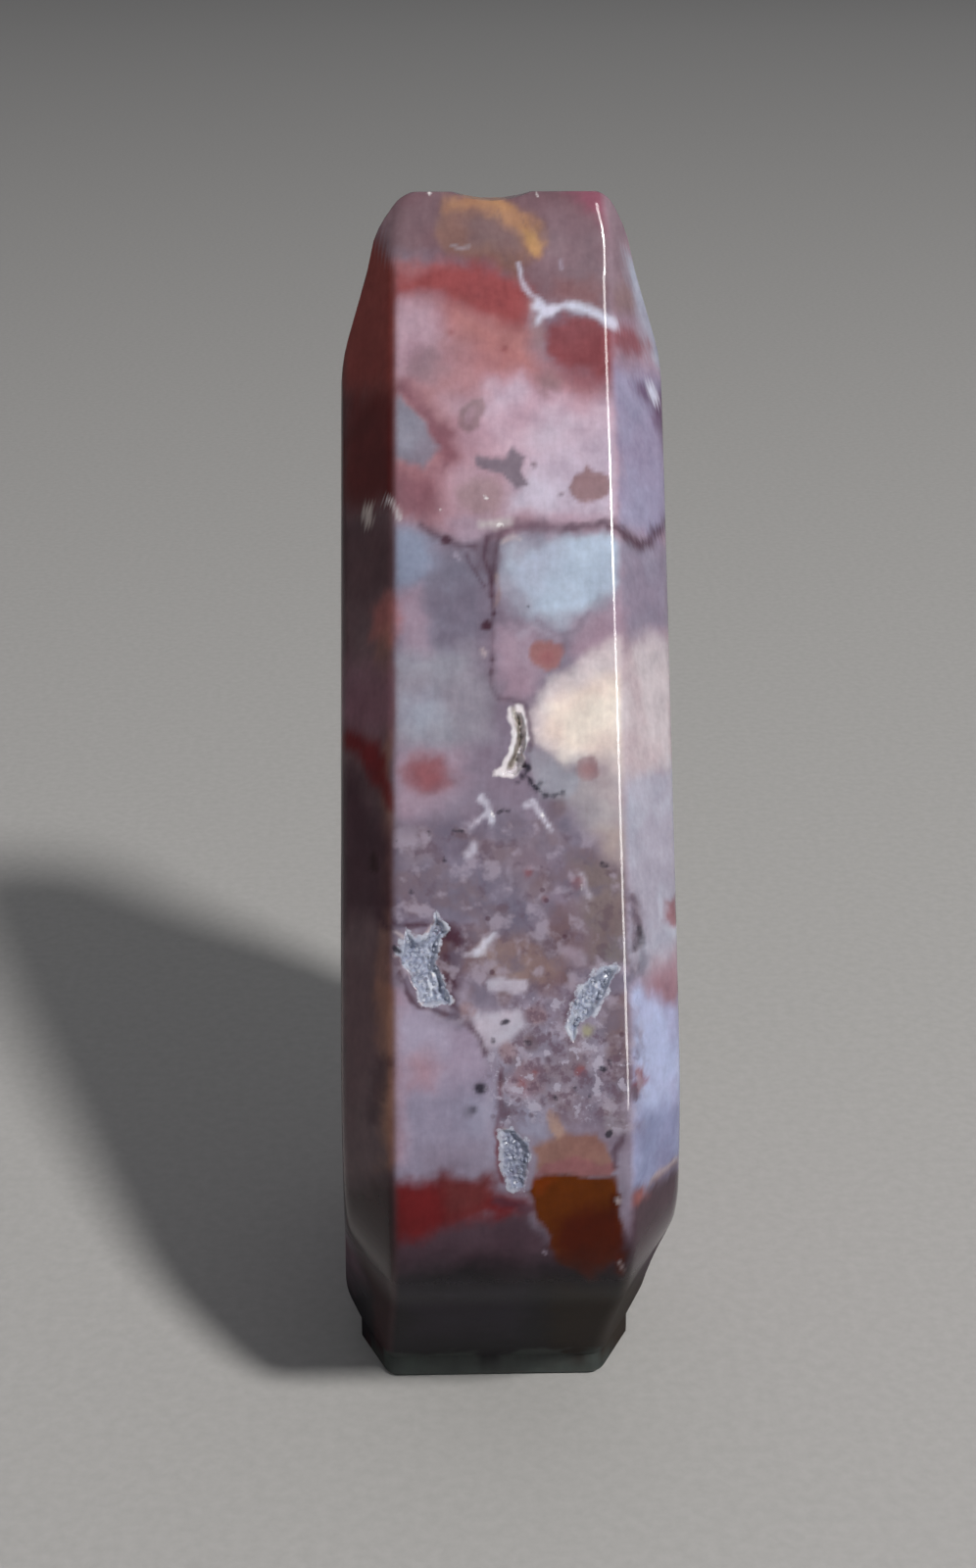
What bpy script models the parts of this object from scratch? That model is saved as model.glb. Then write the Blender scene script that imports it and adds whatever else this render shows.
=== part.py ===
"""Ocean jasper flame: a bevelled slab of polished stone with a flame outline, standing on its flat base.

Metres, +Z up, origin at the middle of the base. X runs across the thickness, and the narrow
front edge of the flame faces -Y. A flat band runs round the rim, and a long bevel joins it to
each broad face. Small open pockets in the band are lined with crystals.
"""

import math
import random

import bmesh
import bpy
import numpy as np
from mathutils import Matrix, Vector
from mathutils.geometry import delaunay_2d_cdt

MM = 0.001

# Across the stone (X)
THICK_FOOT = 27.2 * MM
THICK_TOP = 26.4 * MM
BAND_FOOT = 19.0 * MM
BAND_TOP = 17.4 * MM
HEIGHT = 100.0 * MM

# The two long bevels: how far each reaches in from the rim
BEVEL_RUN = 6.0 * MM
BEVEL_EXTRA_FOOT = 0.9 * MM
BEVEL_EXTRA_HIGH = 30.0 * MM
RIGHT_HEEL_EXTRA = 3.6 * MM
RIGHT_HEEL_HIGH = 30.0 * MM
RIGHT_HEEL_DEEP = 30.0 * MM
RIGHT_HEEL_NARROWER = 0.9 * MM
RIM_ROUND = 0.8 * MM
FACE_ROUND = 1.0 * MM
TIP_LEFT_NARROWER = 1.0 * MM
TIP_RIGHT_NARROWER = 0.4 * MM
TIP_NARROWS_AT = 96.0 * MM
FOOT_HIGH = 2.2 * MM
MIDDLE_X = 0.46 * MM
FOOT_ASIDE = 1.0 * MM
FOOT_ASIDE_HIGH = 26.0 * MM
BASE_EASE = 0.35 * MM

# Side view of the rim, as (y, z) in millimetres, from below the front foot over the tip to the back
FRONT_RIM = [(-7.2, -3.2), (-12.2, 2.2), (-24.0, 15.2), (-28.2, 20.8), (-29.6, 27.5),
             (-28.2, 37.0), (-23.8, 46.2), (-17.7, 56.5), (-5.4, 77.3), (5.2, 94.0)]
TIP = [(5.2, 94.0), (7.4, 98.4), (8.9, 100.0), (10.2, 98.6), (11.4, 94.0)]
BACK_RIM = [(11.4, 94.0), (15.9, 78.4), (23.6, 57.5), (28.2, 41.0), (29.6, 29.0), (27.8, 17.5),
            (21.5, 2.2), (19.4, -3.2)]
HEART = (0.0, 36.0)
RIM_STEP = 2.3
TIP_STEP = 0.8

# Wear at the tip: a shallow ground dip and a small chip
DIP_X = -0.3 * MM
DIP_RADIUS = 9.0 * MM
DIP_DEPTH = 0.6 * MM
DIP_LONG = 20.0 * MM
CHIP_X = 3.3 * MM
CHIP_SIZE = 1.1 * MM
CHIP_SUNK = 0.35 * MM
CHIP_TURN = (0.5, 0.7, 0.3)

# Crystal pockets in the front band: outlines as (x, height) of the rim, in millimetres
POCKET_MARGIN = 0.7 * MM
CRYSTAL = 0.62 * MM
WALL_SHARE = 0.55
POINT_SHARE = 0.4
CLEFT_SHARE = 0.95
LEFT_POCKET = [(-8.6, 47.0), (-8.1, 49.0), (-7.4, 48.3), (-6.6, 48.4), (-5.8, 50.1), (-4.7, 48.8),
               (-5.5, 48.2), (-5.7, 46.7), (-5.2, 45.4), (-4.5, 43.9), (-6.9, 43.9), (-7.6, 45.5)]
LEFT_POCKET_DEPTH = 0.9 * MM
RIGHT_POCKET = [(4.2, 42.5), (4.5, 43.6), (5.2, 44.7), (5.9, 45.5), (7.1, 46.3), (8.3, 46.4),
                (7.6, 45.4), (7.1, 44.4), (6.2, 43.2), (5.2, 42.5), (4.7, 41.4)]
RIGHT_POCKET_DEPTH = 0.8 * MM
SLIT = [(0.4, 63.6), (1.1, 63.6), (1.5, 62.1), (1.2, 60.7), (1.3, 59.8), (0.5, 59.2), (-0.5, 59.3),
        (0.2, 60.7), (0.6, 62.1)]
SLIT_DEPTH = 1.3 * MM
LOW_PATCH = [(-1.0, 35.1), (0.1, 35.0), (1.3, 33.8), (1.2, 32.2), (0.8, 30.3), (-0.2, 30.3),
             (-0.8, 31.8)]
LOW_PATCH_DEPTH = 0.6 * MM

SEED = 17


def clear_scene():
    for item in list(bpy.data.objects):
        bpy.data.objects.remove(item, do_unlink=True)


def collection(name):
    made = bpy.data.collections.new(name)
    bpy.context.scene.collection.children.link(made)
    return made


def material(name, colour, roughness, metallic=0.0):
    made = bpy.data.materials.new(name)
    made.use_nodes = True
    shader = made.node_tree.nodes["Principled BSDF"]
    shader.inputs["Base Color"].default_value = (*colour, 1.0)
    shader.inputs["Roughness"].default_value = roughness
    shader.inputs["Metallic"].default_value = metallic
    made.diffuse_color = (*colour, 1.0)
    return made


def smooth_run(points, step):
    """A Catmull-Rom curve through the points, without its last point."""
    ends = [tuple(2 * a - b for a, b in zip(points[0], points[1]))]
    ends += points
    ends.append(tuple(2 * a - b for a, b in zip(points[-1], points[-2])))
    run = []
    for p, q, r, s in zip(ends, ends[1:], ends[2:], ends[3:]):
        parts = max(1, round(math.dist(q, r) / step))
        for t in (i / parts for i in range(parts)):
            run.append([0.5 * (2 * b + (c - a) * t + (2 * a - 5 * b + 4 * c - d) * t * t
                               + (3 * b - a - 3 * c + d) * t ** 3)
                        for a, b, c, d in zip(p, q, r, s)])
    return run


def rim_line():
    """The rim in the YZ plane, in metres, from below the front foot to below the back foot."""
    run = smooth_run(FRONT_RIM, RIM_STEP) + smooth_run(TIP, TIP_STEP)
    return np.array(run + smooth_run(BACK_RIM, RIM_STEP) + [BACK_RIM[-1]]) * MM


def bevel_line(rim):
    """The line that the bevels follow: the rim, run on straight at both ends."""
    return np.vstack([rim[0] + 3 * (rim[0] - rim[1]), rim, rim[-1] + 3 * (rim[-1] - rim[-2])])


def distance(points, line):
    """How far each point is from an open line."""
    start, along = line[:-1], line[1:] - line[:-1]
    away = points[:, None] - start
    share = np.clip((away * along).sum(-1) / (along * along).sum(-1), 0, 1)
    return np.linalg.norm(away - share[..., None] * along, axis=-1).min(1)


def ramp(value):
    value = np.clip(value, 0, 1)
    return value * value * (3 - 2 * value)


def heel(points):
    """1 at the low front corner of the stone, fading to 0 above and behind it."""
    front = FRONT_RIM[4][0] * MM
    low = ramp(1 - points[:, 1] / RIGHT_HEEL_HIGH)
    return low * ramp(1 - (points[:, 0] - front) / RIGHT_HEEL_DEEP)


def bevel_run(points, side):
    run = BEVEL_RUN + BEVEL_EXTRA_FOOT * ramp(1 - points[:, 1] / BEVEL_EXTRA_HIGH)
    return run + RIGHT_HEEL_EXTRA * heel(points) if side > 0 else run


def band_half(points, side):
    half = (BAND_FOOT + (BAND_TOP - BAND_FOOT) * points[:, 1] / HEIGHT) / 2
    tip = ramp((points[:, 1] - TIP_NARROWS_AT) / (HEIGHT - TIP_NARROWS_AT))
    if side < 0:
        return half - TIP_LEFT_NARROWER * tip
    return half - TIP_RIGHT_NARROWER * tip - RIGHT_HEEL_NARROWER * heel(points)


def face_half(points):
    return (THICK_FOOT + (THICK_TOP - THICK_FOOT) * points[:, 1] / HEIGHT) / 2


def inset_loop(rim, share, side):
    """The rim drawn in towards the heart, to the given share of the bevel's run."""
    if share <= 0:
        return rim.copy()
    line = bevel_line(rim)
    heart = np.array(HEART) * MM
    near, far = np.zeros(len(rim)), np.ones(len(rim))
    for _ in range(28):
        middle = (near + far) / 2
        points = heart + (rim - heart) * middle[:, None]
        deep = distance(points, line) > share * bevel_run(points, side)
        near, far = np.where(deep, middle, near), np.where(deep, far, middle)
    return heart + (rim - heart) * near[:, None]


def rounded_corner(corner, before, after, length):
    """Three points that round a corner of the cross-section, as (inset, rise)."""
    corner, before, after = (Vector(v) for v in (corner, before, after))
    first = corner - before.normalized() * length
    last = corner + after.normalized() * length
    return [first, (first + 2 * corner + last) / 4, last]


def cross_section():
    """Half the cross-section of the rim, from the band to the face, as (share of the run, rise)."""
    rise = (THICK_FOOT - BAND_FOOT) / 2
    bevel = (BEVEL_RUN, rise)
    points = rounded_corner((0, 0), (0, 1), bevel, RIM_ROUND)
    points += rounded_corner(bevel, bevel, (1, 0), FACE_ROUND)
    return [(p[0] / BEVEL_RUN, p[1] / rise) for p in points]


def section_loop(rim, share, rise, side):
    """One loop of the loft, in space."""
    loop = inset_loop(rim, share, side)
    band, face = band_half(loop, side), face_half(loop)
    x = side * (band + (face - band) * min(rise, 1))
    x += MIDDLE_X - FOOT_ASIDE * ramp(1 - loop[:, 1] / FOOT_ASIDE_HIGH)
    return np.column_stack([x, loop])


def loft(loops):
    """A closed mesh through loops with the same number of points."""
    mesh = bmesh.new()
    rows = [[mesh.verts.new(point) for point in loop] for loop in loops]
    for row, above in zip(rows, rows[1:]):
        for i in range(len(row)):
            j = (i + 1) % len(row)
            mesh.faces.new((row[i], row[j], above[j], above[i]))
    mesh.faces.new(rows[0][::-1])
    mesh.faces.new(rows[-1])
    bmesh.ops.recalc_face_normals(mesh, faces=mesh.faces)
    return mesh


def grind_base(mesh):
    """Cuts the stone flat above its foot, draws the foot down to z = 0 and eases its lower edge."""
    everything = mesh.verts[:] + mesh.edges[:] + mesh.faces[:]
    cut = bmesh.ops.bisect_plane(mesh, geom=everything, plane_co=(0, 0, FOOT_HIGH),
                                 plane_no=(0, 0, -1), clear_outer=True)
    loop = [item for item in cut["geom_cut"] if isinstance(item, bmesh.types.BMEdge)]
    foot = bmesh.ops.extrude_edge_only(mesh, edges=loop)["geom"]
    low = [item for item in foot if isinstance(item, bmesh.types.BMVert)]
    edges = [item for item in foot if isinstance(item, bmesh.types.BMEdge)]
    bmesh.ops.translate(mesh, verts=low, vec=(0, 0, -FOOT_HIGH))
    edges = [edge for edge in edges if all(vert in low for vert in edge.verts)]
    bmesh.ops.edgeloop_fill(mesh, edges=edges)
    bmesh.ops.recalc_face_normals(mesh, faces=mesh.faces)
    bmesh.ops.bevel(mesh, geom=edges, offset=BASE_EASE, segments=1, affect="EDGES")


def make_object(name, mesh, group, finish=None):
    data = bpy.data.meshes.new(name)
    mesh.to_mesh(data)
    mesh.free()
    made = bpy.data.objects.new(name, data)
    group.objects.link(made)
    if finish:
        data.materials.append(finish)
    return made


def make_stone(group, finish):
    rim = rim_line()
    section = cross_section()
    left = [section_loop(rim, share, rise, -1) for share, rise in reversed(section)]
    right = [section_loop(rim, share, rise, 1) for share, rise in section]
    mesh = loft(left + right)
    grind_base(mesh)
    stone = make_object("flame", mesh, group, finish)
    stone.data.shade_smooth()
    stone.data.set_sharp_from_angle(angle=math.radians(25))
    return stone


def front_frame(height):
    """Where the middle of the front band is at a height, and which way it faces."""
    rim = np.array(smooth_run(FRONT_RIM, TIP_STEP)) * MM
    y = np.interp(height, rim[:, 1], rim[:, 0])
    lean = math.atan2(np.interp(height + MM, rim[:, 1], rim[:, 0]) - y, MM)
    return y, lean


def inside(point, outline):
    """Whether a point is inside a closed outline."""
    found = False
    for a, b in zip(outline, outline[1:] + outline[:1]):
        if (a.y > point.y) != (b.y > point.y):
            if point.x < a.x + (point.y - a.y) * (b.x - a.x) / (b.y - a.y):
                found = not found
    return found


def edge_gap(point, outline):
    """The distance from a point to the nearest side of a closed outline."""
    gaps = []
    for a, b in zip(outline, outline[1:] + outline[:1]):
        share = max(0, min(1, (point - a).dot(b - a) / (b - a).length_squared))
        gaps.append((point - a - (b - a) * share).length)
    return min(gaps)


def pocket_cutter(name, outline, depth, group, rng):
    """A cutter whose floor is a crust of crystal points and clefts."""
    middle = sum(z for _, z in outline) / len(outline) * MM
    y, lean = front_frame(middle)
    flat = [Vector((x * MM, (z * MM - middle) / math.cos(lean))) for x, z in outline]
    edges = [(i, (i + 1) % len(flat)) for i in range(len(flat))]
    low = Vector((min(p.x for p in flat), min(p.y for p in flat)))
    high = Vector((max(p.x for p in flat), max(p.y for p in flat)))
    inner = []
    for i in range(int((high.x - low.x) / CRYSTAL) + 1):
        for j in range(int((high.y - low.y) / CRYSTAL) + 1):
            astray = Vector((rng.uniform(-0.3, 0.3), rng.uniform(-0.3, 0.3)))
            inner.append(low + (Vector((i, j)) + astray) * CRYSTAL)
    inner = [p for p in inner if inside(p, flat) and edge_gap(p, flat) > 0.4 * CRYSTAL]
    points, _, faces, *_ = delaunay_2d_cdt(flat + inner, edges, [], 1, 1e-7)
    floor = []
    for i, p in enumerate(points):
        share = rng.choice((POINT_SHARE, CLEFT_SHARE)) + rng.uniform(0, 0.05)
        floor.append((p.x, p.y, -depth * (WALL_SHARE if i < len(flat) else share)))
    mesh = bmesh.new()
    bottom = [mesh.verts.new(p) for p in floor]
    lid = [mesh.verts.new((p.x, p.y, POCKET_MARGIN)) for p in flat]
    for face in faces:
        mesh.faces.new([bottom[i] for i in face])
    mesh.faces.new(lid)
    for i, j in edges:
        mesh.faces.new((bottom[i], bottom[j], lid[j], lid[i]))
    bmesh.ops.recalc_face_normals(mesh, faces=mesh.faces)
    cutter = make_object(name, mesh, group)
    upright = Matrix.Rotation(math.pi / 2 - lean, 4, "X")
    cutter.matrix_world = Matrix.Translation((MIDDLE_X, y, middle)) @ upright
    return cutter


def tip_dip(group):
    """A shallow hollow ground across the tip, as a roller that lies along Y."""
    mesh = bmesh.new()
    bmesh.ops.create_cone(mesh, cap_ends=True, segments=64, radius1=DIP_RADIUS, radius2=DIP_RADIUS,
                          depth=DIP_LONG)
    cutter = make_object("tip_dip_cutter", mesh, group)
    cutter.rotation_euler = (math.pi / 2, 0, 0)
    cutter.location = (DIP_X, TIP[2][0] * MM, HEIGHT + DIP_RADIUS - DIP_DEPTH)
    return cutter


def tip_chip(group):
    """A small chip in the tip's edge, as a turned cube."""
    mesh = bmesh.new()
    bmesh.ops.create_cube(mesh, size=CHIP_SIZE)
    cutter = make_object("tip_chip_cutter", mesh, group)
    cutter.rotation_euler = CHIP_TURN
    cutter.location = (CHIP_X, TIP[2][0] * MM - CHIP_SIZE / 2, HEIGHT + CHIP_SIZE / 2 - CHIP_SUNK)
    return cutter


def cut(stone, cutter):
    cutter.hide_render = True
    cutter.display_type = "WIRE"
    boolean = stone.modifiers.new(cutter.name, "BOOLEAN")
    boolean.operation = "DIFFERENCE"
    boolean.solver = "EXACT"
    boolean.object = cutter


def main():
    clear_scene()
    rng = random.Random(SEED)
    parts = collection("ocean_jasper_flame")
    cutters = collection("cutters")
    jasper = material("polished_jasper", (0.36, 0.22, 0.24), 0.12)
    stone = make_stone(parts, jasper)
    cut(stone, tip_dip(cutters))
    cut(stone, tip_chip(cutters))
    pockets = [("left_pocket", LEFT_POCKET, LEFT_POCKET_DEPTH),
               ("right_pocket", RIGHT_POCKET, RIGHT_POCKET_DEPTH),
               ("slit", SLIT, SLIT_DEPTH),
               ("low_patch", LOW_PATCH, LOW_PATCH_DEPTH)]
    for name, outline, depth in pockets:
        cut(stone, pocket_cutter(name + "_cutter", outline, depth, cutters, rng))


main()
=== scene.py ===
"""Ocean jasper flame: the polished stone, its markings and the crystals in its pockets.

The stone's surface repeats the named sizes of the solid at a finer step. Its markings are named
patches, veins and spots, placed by their pixels in the photograph and painted softly onto the
surface; some patches also hold painted shade, a painted highlight and a painted sheen. The node
material grows the pattern of the unseen sides and adds all the finer grain.
"""

import math
import random

import bmesh
import bpy
import numpy as np
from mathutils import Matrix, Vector, noise


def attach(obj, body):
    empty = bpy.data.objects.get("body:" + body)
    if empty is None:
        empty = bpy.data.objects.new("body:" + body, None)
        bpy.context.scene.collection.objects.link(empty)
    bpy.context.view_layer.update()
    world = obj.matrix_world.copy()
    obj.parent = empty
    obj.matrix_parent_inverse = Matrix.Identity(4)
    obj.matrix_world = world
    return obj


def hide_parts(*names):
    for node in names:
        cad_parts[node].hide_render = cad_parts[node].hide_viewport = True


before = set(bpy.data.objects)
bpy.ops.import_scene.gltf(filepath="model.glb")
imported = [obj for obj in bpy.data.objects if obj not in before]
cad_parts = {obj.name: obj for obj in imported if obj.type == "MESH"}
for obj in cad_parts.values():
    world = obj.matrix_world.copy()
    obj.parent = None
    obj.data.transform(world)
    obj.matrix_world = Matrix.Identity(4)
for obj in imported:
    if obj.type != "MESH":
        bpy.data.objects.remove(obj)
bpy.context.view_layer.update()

MM = 0.001
SEED = 23
UP_TO_MM = 1000.0

# The camera of the photograph, in the stone's frame
PHOTO_WIDE, PHOTO_HIGH = 996, 1600
FOCAL_PX = 2400.0
CAMERA_AT = (-4.07, -184.99, 128.5)
CAMERA_DOWN = math.radians(22.5)
CAMERA_TURN = math.radians(-1.5)
CENTRE_RIGHT_PX = 20.0
SENSOR_MM = 36.0

# Lights: where from, how far, width, height, power and colour
LIGHTS = {
    "key": ((0.414, -0.593, 0.690), 1.3, 0.16, 0.16, 15, (1.0, 0.97, 0.93)),
    "fill": ((-0.5, -1.0, 0.7), 1.6, 1.2, 1.2, 1.0, (0.95, 0.97, 1.0)),
    "back_fill": ((0.5, 1.0, 0.9), 1.6, 1.6, 1.6, 1.0, (0.97, 0.98, 1.0)),
    "strip": ((0.50, -0.70, 0.50), 1.3, 0.24, 1.6, 40, (1.0, 0.99, 0.97)),
}
LIGHTS_AIM = (0, 0, 0.05)
SKY_COLOUR, SKY_STRENGTH = (0.92, 0.92, 0.94, 1), 0.20
FLOOR_RADIUS = 4.0

# Sizes of the stone, as in the solid, in millimetres
THICK_FOOT, THICK_TOP = 27.2, 26.4
BAND_FOOT, BAND_TOP = 19.0, 17.4
HEIGHT = 100.0
BEVEL_RUN = 6.0
BEVEL_EXTRA_FOOT, BEVEL_EXTRA_HIGH = 0.9, 30.0
RIGHT_HEEL_EXTRA, RIGHT_HEEL_HIGH, RIGHT_HEEL_DEEP, RIGHT_HEEL_NARROWER = 3.6, 30.0, 30.0, 0.9
RIM_ROUND, FACE_ROUND = 0.8, 1.0
TIP_LEFT_NARROWER, TIP_RIGHT_NARROWER, TIP_NARROWS_AT = 1.0, 0.4, 96.0
FOOT_HIGH, MIDDLE_X, FOOT_ASIDE, FOOT_ASIDE_HIGH, BASE_EASE = 2.2, 0.46, 1.0, 26.0, 0.35
FRONT_RIM = [(-7.2, -3.2), (-12.2, 2.2), (-24.0, 15.2), (-28.2, 20.8), (-29.6, 27.5),
             (-28.2, 37.0), (-23.8, 46.2), (-17.7, 56.5), (-5.4, 77.3), (5.2, 94.0)]
TIP = [(5.2, 94.0), (7.4, 98.4), (8.9, 100.0), (10.2, 98.6), (11.4, 94.0)]
BACK_RIM = [(11.4, 94.0), (15.9, 78.4), (23.6, 57.5), (28.2, 41.0), (29.6, 29.0), (27.8, 17.5),
            (21.5, 2.2), (19.4, -3.2)]
HEART = (0.0, 36.0)
DIP_X, DIP_RADIUS, DIP_DEPTH = -0.3, 9.0, 0.6

# How fine the surface is, in millimetres or steps
FRONT_STEP, TIP_STEP, BACK_STEP = 0.26, 0.22, 1.6
BAND_STEPS, BEVEL_STEPS, RIM_STEPS, FACE_EDGE_STEPS, FACE_STEPS = 84, 12, 6, 4, 8
# The line that insets are measured from, its steps on front, tip and back, and its straight ends
COARSE_FRONT, COARSE_TIP, COARSE_BACK, COARSE_ENDS = 1.0, 0.6, 1.2, 3
RAY_END, RAY_STEPS, FACE_DRAWN_IN, EASE_SEGMENTS = 0.4, 161, 0.97, 2
SHARP_FROM = math.radians(35)

# Crystal pockets: outline as (x, height) in millimetres from the band's middle, and depth
POCKETS = {
    "left": ([(-8.6, 47.0), (-8.1, 49.0), (-7.4, 48.3), (-6.6, 48.4), (-5.8, 50.1), (-4.7, 48.8),
              (-5.5, 48.2), (-5.7, 46.7), (-5.2, 45.4), (-4.5, 43.9), (-6.9, 43.9), (-7.6, 45.5)], 0.9),
    "right": ([(4.2, 42.5), (4.5, 43.6), (5.2, 44.7), (5.9, 45.5), (7.1, 46.3), (8.3, 46.4),
               (7.6, 45.4), (7.1, 44.4), (6.2, 43.2), (5.2, 42.5), (4.7, 41.4)], 0.8),
    "slit": ([(0.4, 63.6), (1.1, 63.6), (1.5, 62.1), (1.2, 60.7), (1.3, 59.8), (0.5, 59.2),
              (-0.5, 59.3), (0.2, 60.7), (0.6, 62.1)], 1.3),
    "low_patch": ([(-1.0, 35.1), (0.1, 35.0), (1.3, 33.8), (1.2, 32.2), (0.8, 30.3), (-0.2, 30.3),
                   (-0.8, 31.8)], 0.6),
}

# How far round a pocket the surface is refined, the longest edge that is cut, and how often
POCKET_MARGIN, POCKET_EDGE, POCKET_CUTS = 0.5, 1.2, 2
# How far a pocket's edge wanders, and how wide its wall is, in millimetres
POCKET_WOBBLE, POCKET_WALL = 0.18, 0.45
# Crystals: how many per square millimetre, how deep they stand in the floor and clear of the edge
CRYSTALS_PER_MM2, CRYSTAL_SUNK, CRYSTAL_CLEAR = 6, 0.1, 0.12
CRYSTAL_TALL, CRYSTAL_WIDE = (0.09, 0.17), (0.14, 0.28)

# Colours of the stone, linear; those named painted shade, painted highlight and painted sheen have shade
# and light laid into them
COLOURS = {
    "purple_grey": (0.185, 0.115, 0.135), "smoke": (0.22, 0.132, 0.118), "gold": (0.4, 0.225, 0.13),
    "bright_gold": (0.44, 0.255, 0.12), "wine_pink": (0.25, 0.088, 0.13),
    "grey_mauve": (0.23, 0.158, 0.187), "russet": (0.215, 0.1, 0.105), "brick": (0.275, 0.072, 0.076),
    "soft_brick": (0.32, 0.125, 0.135), "salmon": (0.385, 0.17, 0.17), "rose": (0.4, 0.2, 0.22),
    "lavender_pink": (0.41, 0.275, 0.34), "lavender": (0.34, 0.25, 0.32), "pink": (0.52, 0.37, 0.455),
    "lilac": (0.5, 0.415, 0.51), "garnet": (0.225, 0.062, 0.07), "soft_garnet": (0.29, 0.105, 0.12),
    "grey_blue": (0.285, 0.28, 0.335), "dusty_rose": (0.215, 0.1, 0.126),
    "mauve_grey": (0.215, 0.17, 0.21), "mauve_brown": (0.29, 0.195, 0.215), "blue": (0.215, 0.24, 0.335),
    "pale_blue": (0.405, 0.47, 0.59), "mid_blue": (0.335, 0.355, 0.44), "slate": (0.165, 0.152, 0.208),
    "mauve": (0.215, 0.18, 0.24), "coral": (0.3, 0.098, 0.088), "cream": (0.76, 0.66, 0.59),
    "cool_cream": (0.63, 0.58, 0.6), "oyster": (0.46, 0.405, 0.425), "warm_grey": (0.31, 0.275, 0.305),
    "beige": (0.42, 0.355, 0.335), "dusk_mauve": (0.14, 0.122, 0.175), "plum": (0.105, 0.068, 0.095),
    "maroon": (0.062, 0.026, 0.042), "brown": (0.165, 0.11, 0.122), "tan": (0.245, 0.17, 0.165),
    "olive_brown": (0.185, 0.15, 0.145), "net_lilac": (0.36, 0.315, 0.395),
    # On the next line, the two lilacs are the stone's pale lilac painted darker as shade towards the bottom
    "lilac_with_painted_shade": (0.325, 0.28, 0.375), "low_lilac_with_painted_shade": (0.255, 0.245, 0.335), "cap": (0.23, 0.12, 0.102),
    "peach": (0.36, 0.23, 0.185), "cap_rose": (0.235, 0.098, 0.108), "amber": (0.092, 0.019, 0.001),
    "orange": (0.16, 0.026, 0.001), "umber": (0.056, 0.006, 0.001), "blood": (0.125, 0.011, 0.013),
    # On the next line, the two colours after soft blood are painted shade for the underside, which faces
    # away from the light
    "soft_blood": (0.11, 0.024, 0.025), "purple_painted_shade": (0.058, 0.032, 0.045), "black_painted_shade": (0.009, 0.007, 0.01),
    "olive": (0.3, 0.28, 0.17), "slit_olive": (0.13, 0.105, 0.065), "slit_grey": (0.44, 0.42, 0.385),
    "foot_grey": (0.042, 0.05, 0.046), "white": (0.58, 0.6, 0.73), "ivory": (0.78, 0.77, 0.8),
    # On the next line, the brown and the violet after ink are painted shade for the underside, over its own
    # dark tints
    "ink": (0.02, 0.018, 0.03), "brown_painted_shade": (0.019, 0.01, 0.004), "violet_painted_shade": (0.02, 0.014, 0.024),
    # From the end of the next line on, the bevel colours are the left bevel's dark reds, browns and plums
    # painted darker as shade, and its glow is a painted highlight
    "wisp": (0.54, 0.53, 0.63), "vein_plum": (0.14, 0.09, 0.125), "bevel_red_painted_shade": (0.11, 0.006, 0.008),
    "flower_red": (0.285, 0.135, 0.14), "bevel_wine_painted_shade": (0.165, 0.032, 0.027),
    "bevel_blood_painted_shade": (0.07, 0.006, 0.005), "bevel_umber_painted_shade": (0.07, 0.036, 0.042),
    "bevel_mauve_painted_shade": (0.165, 0.085, 0.11), "bevel_plum_painted_shade": (0.045, 0.019, 0.028),
    "bevel_brown_painted_shade": (0.1, 0.06, 0.068), "bevel_painted_highlight": (0.235, 0.115, 0.08),
    # The sky colours at the end of the next line and below hold the right bevel's colours with a painted
    # bluish sheen
    "bevel_black_painted_shade": (0.022, 0.007, 0.009), "lilac_painted_sheen": (0.3, 0.28, 0.41), "blue_painted_sheen": (0.385, 0.42, 0.62),
    "pink_painted_sheen": (0.55, 0.48, 0.51), "pale_grey_and_painted_sheen": (0.4, 0.405, 0.495), "dark_violet": (0.12, 0.07, 0.13),
    "oval_blue": (0.225, 0.205, 0.26), "ash": (0.185, 0.145, 0.185), "net_ground": (0.335, 0.305, 0.39),
    "column_red": (0.13, 0.04, 0.055), "net_plum": (0.12, 0.075, 0.108), "net_pale": (0.4, 0.375, 0.47),
    "net_white": (0.45, 0.42, 0.5), "spotgrey": (0.24, 0.165, 0.185), "bloom": (0.5, 0.44, 0.545),
    "faded_garnet": (0.215, 0.08, 0.095), "slate_painted_sheen": (0.235, 0.22, 0.3), "deep_blue_painted_sheen": (0.2, 0.21, 0.35),
}

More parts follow.
